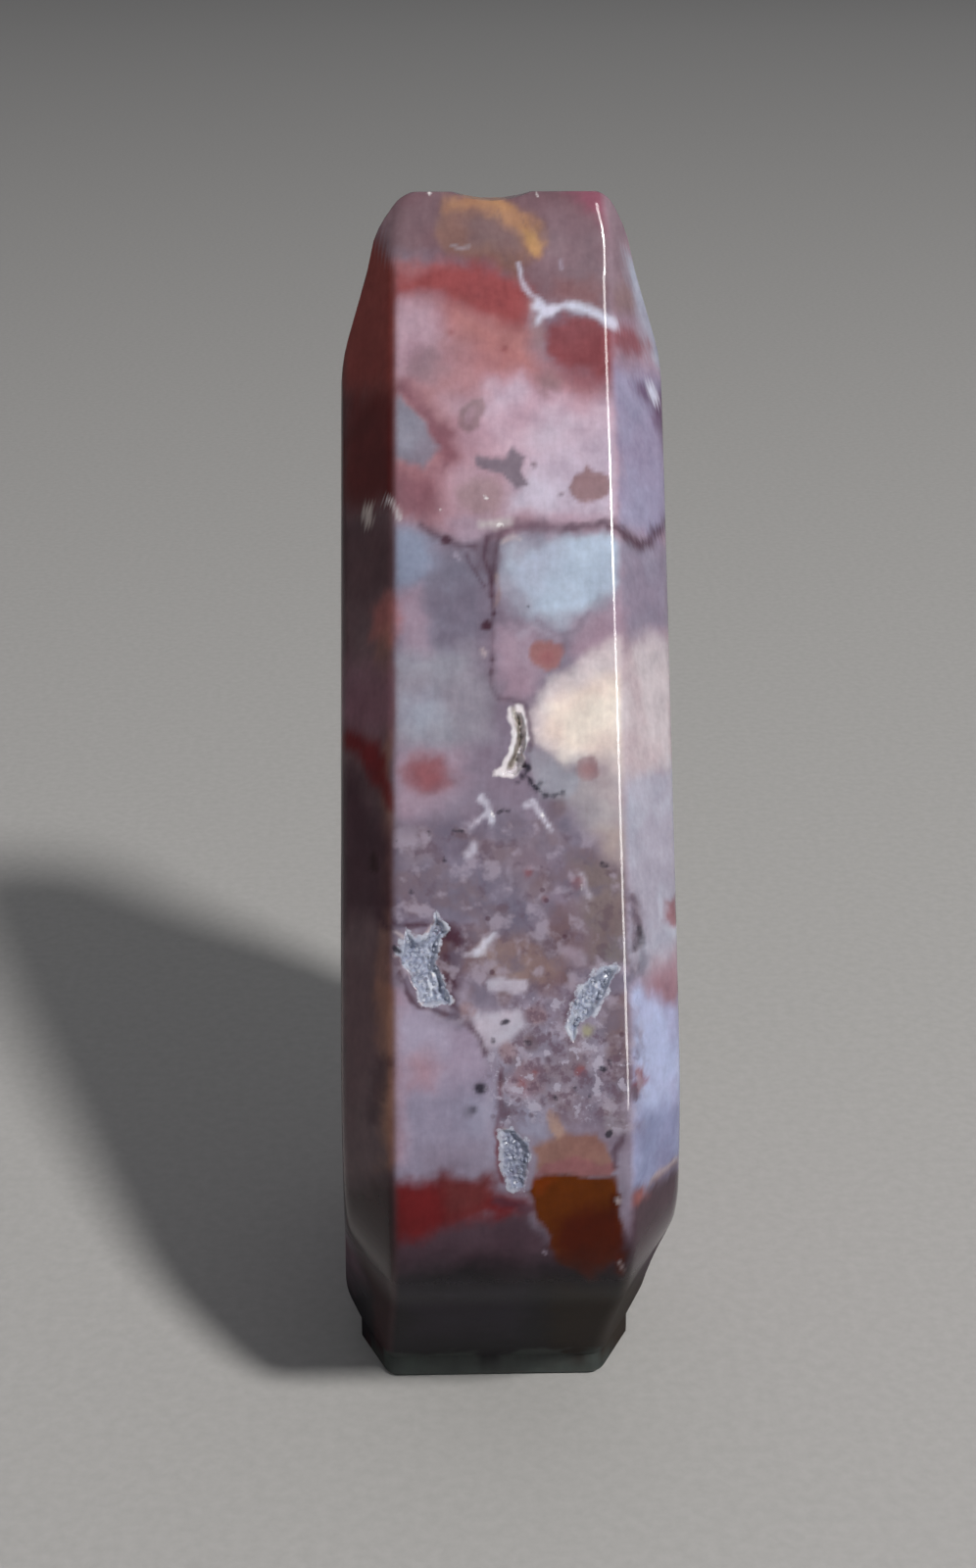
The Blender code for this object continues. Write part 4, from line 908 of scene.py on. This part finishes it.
def side_shares(points):
    """How much each point belongs to the left bevel, the front band and the right bevel."""
    flat = points[:, 1:]
    offset = points[:, 0] - MIDDLE_X + FOOT_ASIDE * ramp(1 - flat[:, 1] / FOOT_ASIDE_HIGH)
    tip = tip_share(flat[:, 1], before=2)
    left = ramp((-offset - band_half(flat, -1) - 1.8 * tip + 0.5) / (EDGE_SOFT + 1.6 * tip))
    right = ramp((offset - band_half(flat, 1) + 0.4) / EDGE_SOFT)
    return {"left": left, "right": right, "band": (1 - left) * (1 - right), "all": np.ones(len(points))}


def paint_fields(stone):
    """Writes the colours of the patches and the distances to the fine marks onto the surface."""
    count = len(stone.vertices)
    flat = np.zeros(count * 3)
    stone.vertices.foreach_get("co", flat)
    points = flat.reshape(-1, 3) / MM
    slow, deep = to_photo(warped(points, PATCH_WARPS))
    quick, _ = to_photo(warped(points, LINE_WARPS))
    behind = behind_front(slow, deep) + DEPTH_SWAY * clouds(points, DEPTH_SWAY_SIZE)
    fray = clouds(points, FRAY_SIZE)
    swell = SWELL_LEAST + SWELL_MORE * clouds(points, SWELL_SIZE, 2)
    sides = side_shares(points)
    colour = np.tile(COLOURS["lavender"], (count, 1))
    cover, clear = np.zeros(count), np.zeros(count)

    def lay(tint, field, soft, share):
        """Blends a colour in where its field is above zero, softly across the edge."""
        mask = ramp((field + soft) / (2 * soft)) * share
        colour[:] += (np.array(COLOURS[tint]) - colour) * mask[:, None]
        cover[:] = np.maximum(cover, mask)
        if tint in CLEAR_TINTS:
            clear[:] = np.maximum(clear, mask)

    def line_field(line, half):
        return half * swell - distance(quick, np.array(line, float)) / PX_PER_MM

    for _, tint, soft, reach, strength, side, outline in ZONES:
        field = polygon_field(slow, outline) / PX_PER_MM + fray * min(FRAY_SHARE * soft, FRAY_MOST)
        lay(tint, field, soft, strength * reach_mask(behind, reach) * sides[side])
    for _, tint, half, soft, reach, strength, line in VEINS:
        lay(tint, line_field(line, half), soft, strength * (behind < reach))
    for _, tint, radius, soft, strength, middle in SPOTS:
        away = np.linalg.norm(quick - np.array(middle), axis=1) / PX_PER_MM
        lay(tint, radius * (1 + SPOT_FRAY * fray) - away, soft, strength * (behind < SPOT_REACH))
    zone = stone.attributes.new("zone", "FLOAT_COLOR", "POINT")
    zone.data.foreach_set("color", np.column_stack([colour, cover]).astype(np.float32).ravel())

    def save(name, values):
        made = stone.attributes.new(name, "FLOAT", "POINT")
        made.data.foreach_set("value", values.astype(np.float32))

    for name, rows in (("black", BLACK_MARKS), ("bright", BRIGHT_FLECKS)):
        save(name, np.max([np.where(behind < reach, line_field(line, half), NOWHERE)
                           for _, half, reach, line in rows], axis=0))
    crust = np.max([polygon_field(quick, outline) for outline in CRUSTS.values()], axis=0) / PX_PER_MM
    crust += CRUST_FRAY * clouds(points, SWELL_SIZE, 3)
    save("crust", np.where(behind < CRUST_REACH, crust, NOWHERE))
    on_band = reach_mask(behind, MOTTLE_REACH) * (1 - sides["left"]) * (1 - clear)
    for name, outline in (("speckle", SPECKLED), ("net", NETTED)):
        save(name, ramp((polygon_field(slow, outline) / PX_PER_MM + 1) / 2) * on_band)


class Tree:
    """A short way to write a material's nodes."""

    def __init__(self, material):
        material.use_nodes = True
        self.tree = material.node_tree
        self.shader = self.tree.nodes["Principled BSDF"]

    def put(self, socket, value):
        if hasattr(value, "is_output"):
            self.tree.links.new(value, socket)
        elif value is not None:
            socket.default_value = value

    def node(self, kind, *values, **settings):
        made = self.tree.nodes.new(kind)
        for key, value in settings.items():
            setattr(made, key, value)
        for socket, value in zip(made.inputs, values):
            self.put(socket, value)
        return made

    def math(self, operation, *values):
        return self.node("ShaderNodeMath", *values, operation=operation).outputs[0]

    def vector(self, operation, *values):
        return self.node("ShaderNodeVectorMath", *values, operation=operation).outputs[0]

    def part(self, whole, index=0, kind="ShaderNodeSeparateColor"):
        return self.node(kind, whole).outputs[index]

    def place_mm(self):
        """The place on the object, in millimetres."""
        place = self.vector("SCALE", self.node("ShaderNodeTexCoord").outputs["Object"])
        place.node.inputs["Scale"].default_value = UP_TO_MM
        return place

    def height(self, place):
        return self.part(place, 2, "ShaderNodeSeparateXYZ")

    def mix(self, factor, first, second, blend="MIX"):
        made = self.tree.nodes.new("ShaderNodeMix")
        made.data_type = "RGBA"
        made.blend_type = blend
        self.put(made.inputs[0], factor)
        self.put(made.inputs[6], rgba(first))
        self.put(made.inputs[7], rgba(second))
        return made.outputs[2]

    def smooth(self, value, low, high, to_low=0.0, to_high=1.0):
        made = self.node("ShaderNodeMapRange", value, low, high, to_low, to_high,
                         interpolation_type="SMOOTHSTEP")
        return made.outputs[0]

    def noise(self, place, scale, detail=4.0, rough=0.55, output="Fac"):
        made = self.node("ShaderNodeTexNoise")
        self.put(made.inputs["Vector"], place)
        made.inputs["Scale"].default_value = scale
        made.inputs["Detail"].default_value = detail
        made.inputs["Roughness"].default_value = rough
        return made.outputs[output]

    def voronoi(self, place, scale, output="Distance", feature="F1", **inputs):
        made = self.node("ShaderNodeTexVoronoi", feature=feature)
        self.put(made.inputs["Vector"], place)
        made.inputs["Scale"].default_value = scale
        for key, value in inputs.items():
            made.inputs[key].default_value = value
        return made.outputs[output]

    def ramp(self, value, stops):
        made = self.node("ShaderNodeValToRGB", value)
        while len(made.color_ramp.elements) < len(stops):
            made.color_ramp.elements.new(0.5)
        for element, (at, colour) in zip(made.color_ramp.elements, stops):
            element.position = at
            element.color = rgba(colour)
        return made.outputs[0]

    def field(self, name):
        return self.node("ShaderNodeAttribute", attribute_name=name).outputs["Fac"]

    def finish(self, colour, roughness, height=None, fine=0.0, **constants):
        """Joins up the shader: colour, roughness, a fine bump and the shader's own constants."""
        self.put(self.shader.inputs["Base Color"], colour)
        self.put(self.shader.inputs["Roughness"], roughness)
        if height is not None:
            bump = self.node("ShaderNodeBump")
            bump.inputs["Strength"].default_value = 0.2
            bump.inputs["Distance"].default_value = fine
            self.put(bump.inputs["Height"], height)
            self.put(self.shader.inputs["Normal"], bump.outputs[0])
        for name, value in constants.items():
            self.shader.inputs[name.replace("_", " ")].default_value = value


def rgba(colour):
    """A colour that a node takes, from a name in COLOURS or three numbers. Sockets pass through."""
    if isinstance(colour, str):
        colour = COLOURS[colour]
    if isinstance(colour, tuple) and len(colour) == 3:
        return (*colour, 1.0)
    return colour


# Soft mottles of the middle: shift and scale of the noise, where it starts and is full, strength
MOTTLES = [
    ((0, 0, 0), 0.45, 0.46, 0.66, 0.45, "brown"),
    ((31.0, 7.0, 3.0), 0.5, 0.46, 0.66, 0.55, "dusk_mauve"),
    ((5.0, 17.0, 11.0), 0.75, 0.54, 0.70, 0.5, "plum"),
    ((13.0, 1.0, 29.0), 0.6, 0.51, 0.68, 0.6, "net_lilac"),
]
CELLS = [
    (0.14, "brown"), (0.24, "purple_grey"), (0.33, "mauve"), (0.42, "lavender"), (0.50, "lavender_pink"),
    (0.58, "grey_blue"), (0.66, "mid_blue"), (0.73, "net_lilac"), (0.80, "rose"), (0.87, "brick"),
    (0.94, "oyster"),
]
CELL_SCALE = 0.105
ORB_RINGS = [
    (0.0, "garnet"), (0.06, "brick"), (0.16, "rose"), (0.2, "lavender_pink"), (0.27, "brown"),
    (0.31, "net_lilac"), (0.36, "mauve"),
]
ORB_SCALE, ORB_SHARE = 0.15, 0.42
SPECK_SCALE, SPECK_SHARE = 0.7, 0.3
CRYSTAL_GRAIN = [(0.08, (0.36, 0.40, 0.51)), (0.4, (0.32, 0.35, 0.455)), (0.8, (0.27, 0.295, 0.395))]
CRYSTAL_TINTS = [(0.35, (0.31, 0.34, 0.44)), (0.55, (0.36, 0.39, 0.50)), (0.7, (0.46, 0.49, 0.57))]
# Heights where the low pocket's crystals darken, and where the polish ends above the dull underside
LOW_POCKET, POLISH_ENDS = (38.0, 34.0), (24.0, 15.0)
QUARTZ_IOR = 1.54
# Crisp marks: softness, strength and colour
CRISP_MARKS = {"bright": (0.12, 0.9, (0.85, 0.84, 0.86)), "black": (0.15, 0.88, "ink")}


def grown_pattern(t, place):
    """The stone's own pattern, where no named patch lies: soft cells, ringed orbs and clouds."""
    bend = t.vector("SUBTRACT", t.noise(place, 0.10, 3, output="Color"), (0.5, 0.5, 0.5))
    bent = t.vector("MULTIPLY_ADD", bend, (14.0, 14.0, 14.0), place)
    cell = t.voronoi(bent, CELL_SCALE, "Color", "SMOOTH_F1", Smoothness=0.35)
    colour = t.ramp(t.part(cell), CELLS)
    cloud = t.noise(bent, 0.22, 5)
    colour = t.mix(t.smooth(cloud, 0.52, 0.68, 0, 0.8), colour, "net_lilac")
    colour = t.mix(t.smooth(cloud, 0.44, 0.34, 0, 0.7), colour, "dusk_mauve")
    finer = t.vector("MULTIPLY_ADD", bend, (4.0, 4.0, 4.0), place)
    orb = t.voronoi(finer, ORB_SCALE)
    there = t.math("LESS_THAN", t.part(t.voronoi(finer, ORB_SCALE, "Color"), 1), ORB_SHARE)
    orb_mask = t.math("MULTIPLY", there, t.smooth(orb, 0.37, 0.33))
    colour = t.mix(orb_mask, colour, t.ramp(orb, ORB_RINGS))
    edge = t.voronoi(bent, CELL_SCALE, feature="DISTANCE_TO_EDGE")
    broken = t.smooth(t.noise(place, 0.3, 3), 0.45, 0.6)
    return t.mix(t.math("MULTIPLY", broken, t.smooth(edge, 0.035, 0.012, 0, 0.7)), colour, "plum")


def veiled(t, place, colour, cloud, fibre):
    """Drifting veils, clouds, fine fibres and an upright grain, laid over the stone's colour."""
    drift = t.noise(t.vector("ADD", place, (9.0, 3.0, 21.0)), 0.16, 4, 0.5)
    veil = t.mix(t.smooth(drift, 0.40, 0.62), (0.93, 0.89, 0.91), (1.02, 1.09, 1.09))
    colour = t.mix(0.75, colour, veil, "MULTIPLY")
    upright = t.noise(t.vector("MULTIPLY", place, (1.0, 0.22, 0.22)), 1.6, 4, 0.6)
    for value, dark, light in ((cloud, (0.86, 0.85, 0.87), (1.14, 1.13, 1.13)),
                               (fibre, (0.95, 0.94, 0.945), (1.05, 1.055, 1.05)),
                               (upright, (0.94, 0.935, 0.94), (1.06, 1.06, 1.06))):
        colour = t.mix(1.0, colour, t.ramp(value, [(0.3, dark), (0.7, light)]), "MULTIPLY")
    return colour


def mottled(t, place, colour, net):
    """Mottles, netting and specks, where the fields on the surface say that they lie."""
    speckle, netted = t.field("speckle"), t.field("net")
    for offset, scale, low, high, most, tint in MOTTLES:
        mottle = t.noise(t.vector("ADD", place, offset), scale, 3, 0.5)
        colour = t.mix(t.math("MULTIPLY", speckle, t.smooth(mottle, low, high, 0, most)), colour, tint)
    for low, high, most, tint in ((0.50, 0.62, 0.7, "net_plum"), (0.45, 0.37, 0.75, "net_pale")):
        colour = t.mix(t.math("MULTIPLY", netted, t.smooth(net, low, high, 0, most)), colour, tint)
    speck = t.smooth(t.voronoi(place, SPECK_SCALE, Randomness=1.0), 0.20, 0.08, 0, 0.6)
    chance = t.part(t.voronoi(place, SPECK_SCALE, "Color", Randomness=1.0))
    speck = t.math("MULTIPLY", speck, t.math("LESS_THAN", chance, SPECK_SHARE))
    return t.mix(t.math("MULTIPLY", speckle, speck), colour, "maroon")


def crusted(t, place, colour, net, grain):
    """The drusy crusts in and round the pockets, with their paler rims."""
    lace = t.noise(place, 1.3, 4, 0.6)
    field = t.math("MULTIPLY_ADD", t.math("SUBTRACT", lace, 0.5), 1.1, t.field("crust"))
    crust = t.smooth(field, -0.1, 0.14)
    crystal = t.ramp(grain, CRYSTAL_GRAIN)
    crystal = t.mix(t.smooth(lace, 0.52, 0.62, 0, 0.7), crystal, (0.47, 0.50, 0.58))
    crystal = t.mix(t.smooth(net, 0.56, 0.66, 0, 0.5), crystal, "plum")
    crystal = t.mix(t.smooth(t.height(place), *LOW_POCKET, 0, 0.55), crystal, (0.13, 0.14, 0.22))
    colour = t.mix(crust, colour, crystal)
    rim = t.math("MULTIPLY", t.smooth(field, -0.18, 0.02), t.smooth(field, 0.4, 0.1))
    rim = t.math("MULTIPLY", rim, t.smooth(lace, 0.40, 0.60, 0.1, 0.7))
    return t.mix(rim, colour, (0.45, 0.47, 0.56)), crust


def jasper():
    """The polished stone: painted patches in front, grown pattern elsewhere, and the crisp marks."""
    material = bpy.data.materials.new("polished_ocean_jasper")
    t = Tree(material)
    place = t.place_mm()
    zone = t.node("ShaderNodeAttribute", attribute_name="zone")
    colour = t.mix(zone.outputs["Alpha"], grown_pattern(t, place), zone.outputs["Color"])
    cloud = t.noise(place, 0.42, 5, 0.55)
    fibre = t.noise(place, 1.9, 4, 0.55)
    net = t.noise(t.vector("ADD", place, (3.0, 8.0, 1.0)), 0.85, 4, 0.6)
    grain = t.voronoi(place, 2.2)
    colour = veiled(t, place, colour, cloud, fibre)
    colour = mottled(t, place, colour, net)
    colour, crust = crusted(t, place, colour, net, grain)
    ragged = t.math("MULTIPLY", t.math("SUBTRACT", fibre, 0.5), 0.4)
    for name, (soft, strength, tint) in CRISP_MARKS.items():
        mask = t.smooth(t.math("ADD", t.field(name), ragged), -soft, soft)
        colour = t.mix(t.math("MULTIPLY", mask, strength), colour, tint)

    dull = t.smooth(t.noise(place, 6.0, 2, 0.5), 0.35, 0.65, 0.05, 0.09)
    dull = t.math("ADD", dull, t.smooth(t.height(place), *POLISH_ENDS, 0, 0.75))
    height = t.math("MULTIPLY_ADD", crust, t.math("MULTIPLY", grain, 2.0), t.math("MULTIPLY", cloud, 0.2))
    t.finish(colour, t.math("MULTIPLY_ADD", crust, 0.22, dull), height, 0.0001,
             IOR=QUARTZ_IOR, Specular_IOR_Level=0.15, Subsurface_Weight=0.10,
             Subsurface_Radius=(1.0, 0.6, 0.5), Subsurface_Scale=0.0010)
    return material


def crystal_material():
    """Clear bluish quartz, darker in the low pocket."""
    material = bpy.data.materials.new("druzy_quartz")
    t = Tree(material)
    place = t.place_mm()
    tint = t.ramp(t.noise(place, 1.4, 3), CRYSTAL_TINTS)
    tint = t.mix(t.smooth(t.height(place), *LOW_POCKET, 0, 0.55), tint, (0.16, 0.175, 0.26))
    t.finish(tint, t.smooth(t.noise(place, 4.0, 2), 0.3, 0.7, 0.12, 0.30), t.noise(place, 6.0, 3), 0.00005,
             IOR=QUARTZ_IOR, Subsurface_Weight=0.4, Subsurface_Radius=(1.0, 1.0, 1.1),
             Subsurface_Scale=0.0008)
    return material


def add_point(mesh, root, way, wide, tall):
    """A six-sided crystal with a pointed end."""
    turn = way.to_track_quat("Z", "Y").to_matrix()
    angles = [math.tau * i / 6 for i in range(6)]
    low, high = ([mesh.verts.new(root + turn @ Vector((math.cos(a) * wide, math.sin(a) * wide, end * tall)))
                  for a in angles] for end in (-0.5, 0.5))
    peak = mesh.verts.new(root + turn @ Vector((0, 0, tall * 0.5 + wide * 1.1)))
    mesh.faces.new(low[::-1])
    for i in range(6):
        j = (i + 1) % 6
        mesh.faces.new((low[i], low[j], high[j], high[i]))
        mesh.faces.new((high[i], high[j], peak))


def crystals(rng):
    """The crystal points that line the pockets, apart from the narrow slit."""
    front = front_line()
    mesh = bmesh.new()
    for name, (outline, depth) in POCKETS.items():
        if name == "slit":
            continue
        low, high = np.array(outline).min(0), np.array(outline).max(0)
        count = int((high - low).prod() * CRYSTALS_PER_MM2)
        spots = [[rng.uniform(low[0], high[0]), rng.uniform(low[1], high[1])] for _ in range(count)]
        for (x, z), gap in zip(spots, polygon_field(np.array(spots), outline)):
            if gap < CRYSTAL_CLEAR:
                continue
            y, out = front_place(z, front)
            sink = depth * float(ramp(gap / POCKET_WALL)) * 0.85
            tall, wide = rng.uniform(*CRYSTAL_TALL), rng.uniform(*CRYSTAL_WIDE)
            lean = Vector((rng.uniform(-0.5, 0.5), rng.uniform(-0.2, 0.2), rng.uniform(-0.5, 0.5)))
            root = Vector((x + MIDDLE_X, y, z)) - out * (sink + CRYSTAL_SUNK)
            add_point(mesh, root * MM, (out + lean).normalized(), wide * MM, tall * MM)
    bmesh.ops.recalc_face_normals(mesh, faces=mesh.faces)
    return mesh


def make_object(name, mesh, material):
    data = bpy.data.meshes.new(name)
    mesh.to_mesh(data)
    mesh.free()
    data.materials.append(material)
    made = bpy.data.objects.new(name, data)
    bpy.context.scene.collection.objects.link(made)
    return made


def area_light(name, way, far, wide, high, power, colour):
    data = bpy.data.lights.new(name, "AREA")
    data.shape = "ELLIPSE" if wide == high else "RECTANGLE"
    data.size, data.size_y = wide, high
    data.energy, data.color = power, colour
    made = bpy.data.objects.new(name, data)
    bpy.context.scene.collection.objects.link(made)
    away = Vector(way).normalized() * far
    made.location = Vector(LIGHTS_AIM) + away
    made.rotation_euler = (-away).to_track_quat("-Z", "Y").to_euler()
    return made


def studio():
    """A soft sky, the lights and a pale floor. The strip only draws the long highlight."""
    world = bpy.data.worlds.new("soft_studio")
    bpy.context.scene.world = world
    world.use_nodes = True
    sky = world.node_tree.nodes["Background"]
    sky.inputs["Color"].default_value = SKY_COLOUR
    sky.inputs["Strength"].default_value = SKY_STRENGTH
    lights = {name: area_light(name, *values) for name, values in LIGHTS.items()}
    lights["strip"].visible_diffuse = False

    mesh = bmesh.new()
    bmesh.ops.create_circle(mesh, cap_ends=True, radius=FLOOR_RADIUS, segments=96)
    material = bpy.data.materials.new("pale_floor")
    t = Tree(material)
    place = t.node("ShaderNodeTexCoord").outputs["Object"]
    tone = t.ramp(t.noise(place, 900, 3), [(0.3, (0.44, 0.437, 0.433)), (0.7, (0.48, 0.477, 0.473))])
    t.finish(tone, 0.9, Specular_IOR_Level=0.0)
    floor = make_object("floor", mesh, material)


def camera():
    data = bpy.data.cameras.new("camera")
    data.lens = FOCAL_PX / PHOTO_HIGH * SENSOR_MM
    data.sensor_width = SENSOR_MM
    data.shift_x = -CENTRE_RIGHT_PX / PHOTO_HIGH
    data.clip_start = 0.01
    made = bpy.data.objects.new("camera", data)
    made.location = Vector(CAMERA_AT) * MM
    made.rotation_euler = (math.pi / 2 - CAMERA_DOWN, 0, CAMERA_TURN)
    bpy.context.scene.collection.objects.link(made)
    bpy.context.scene.camera = made


def main():
    noise.seed_set(SEED)  # without this, noise vectors differ from run to run
    camera()
    studio()
    mesh = stone_mesh()
    dip_tip(mesh)
    open_pockets(mesh)
    stone = make_object("polished_flame", mesh, jasper())
    stone.data.shade_smooth()
    stone.data.set_sharp_from_angle(angle=SHARP_FROM)
    paint_fields(stone.data)
    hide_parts("flame")
    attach(stone, "root")
    points = make_object("pocket_crystals", crystals(random.Random(SEED)), crystal_material())
    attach(points, "root")
    bpy.context.scene.view_settings.view_transform = "Standard"


main()
bpy.context.view_layer.update()
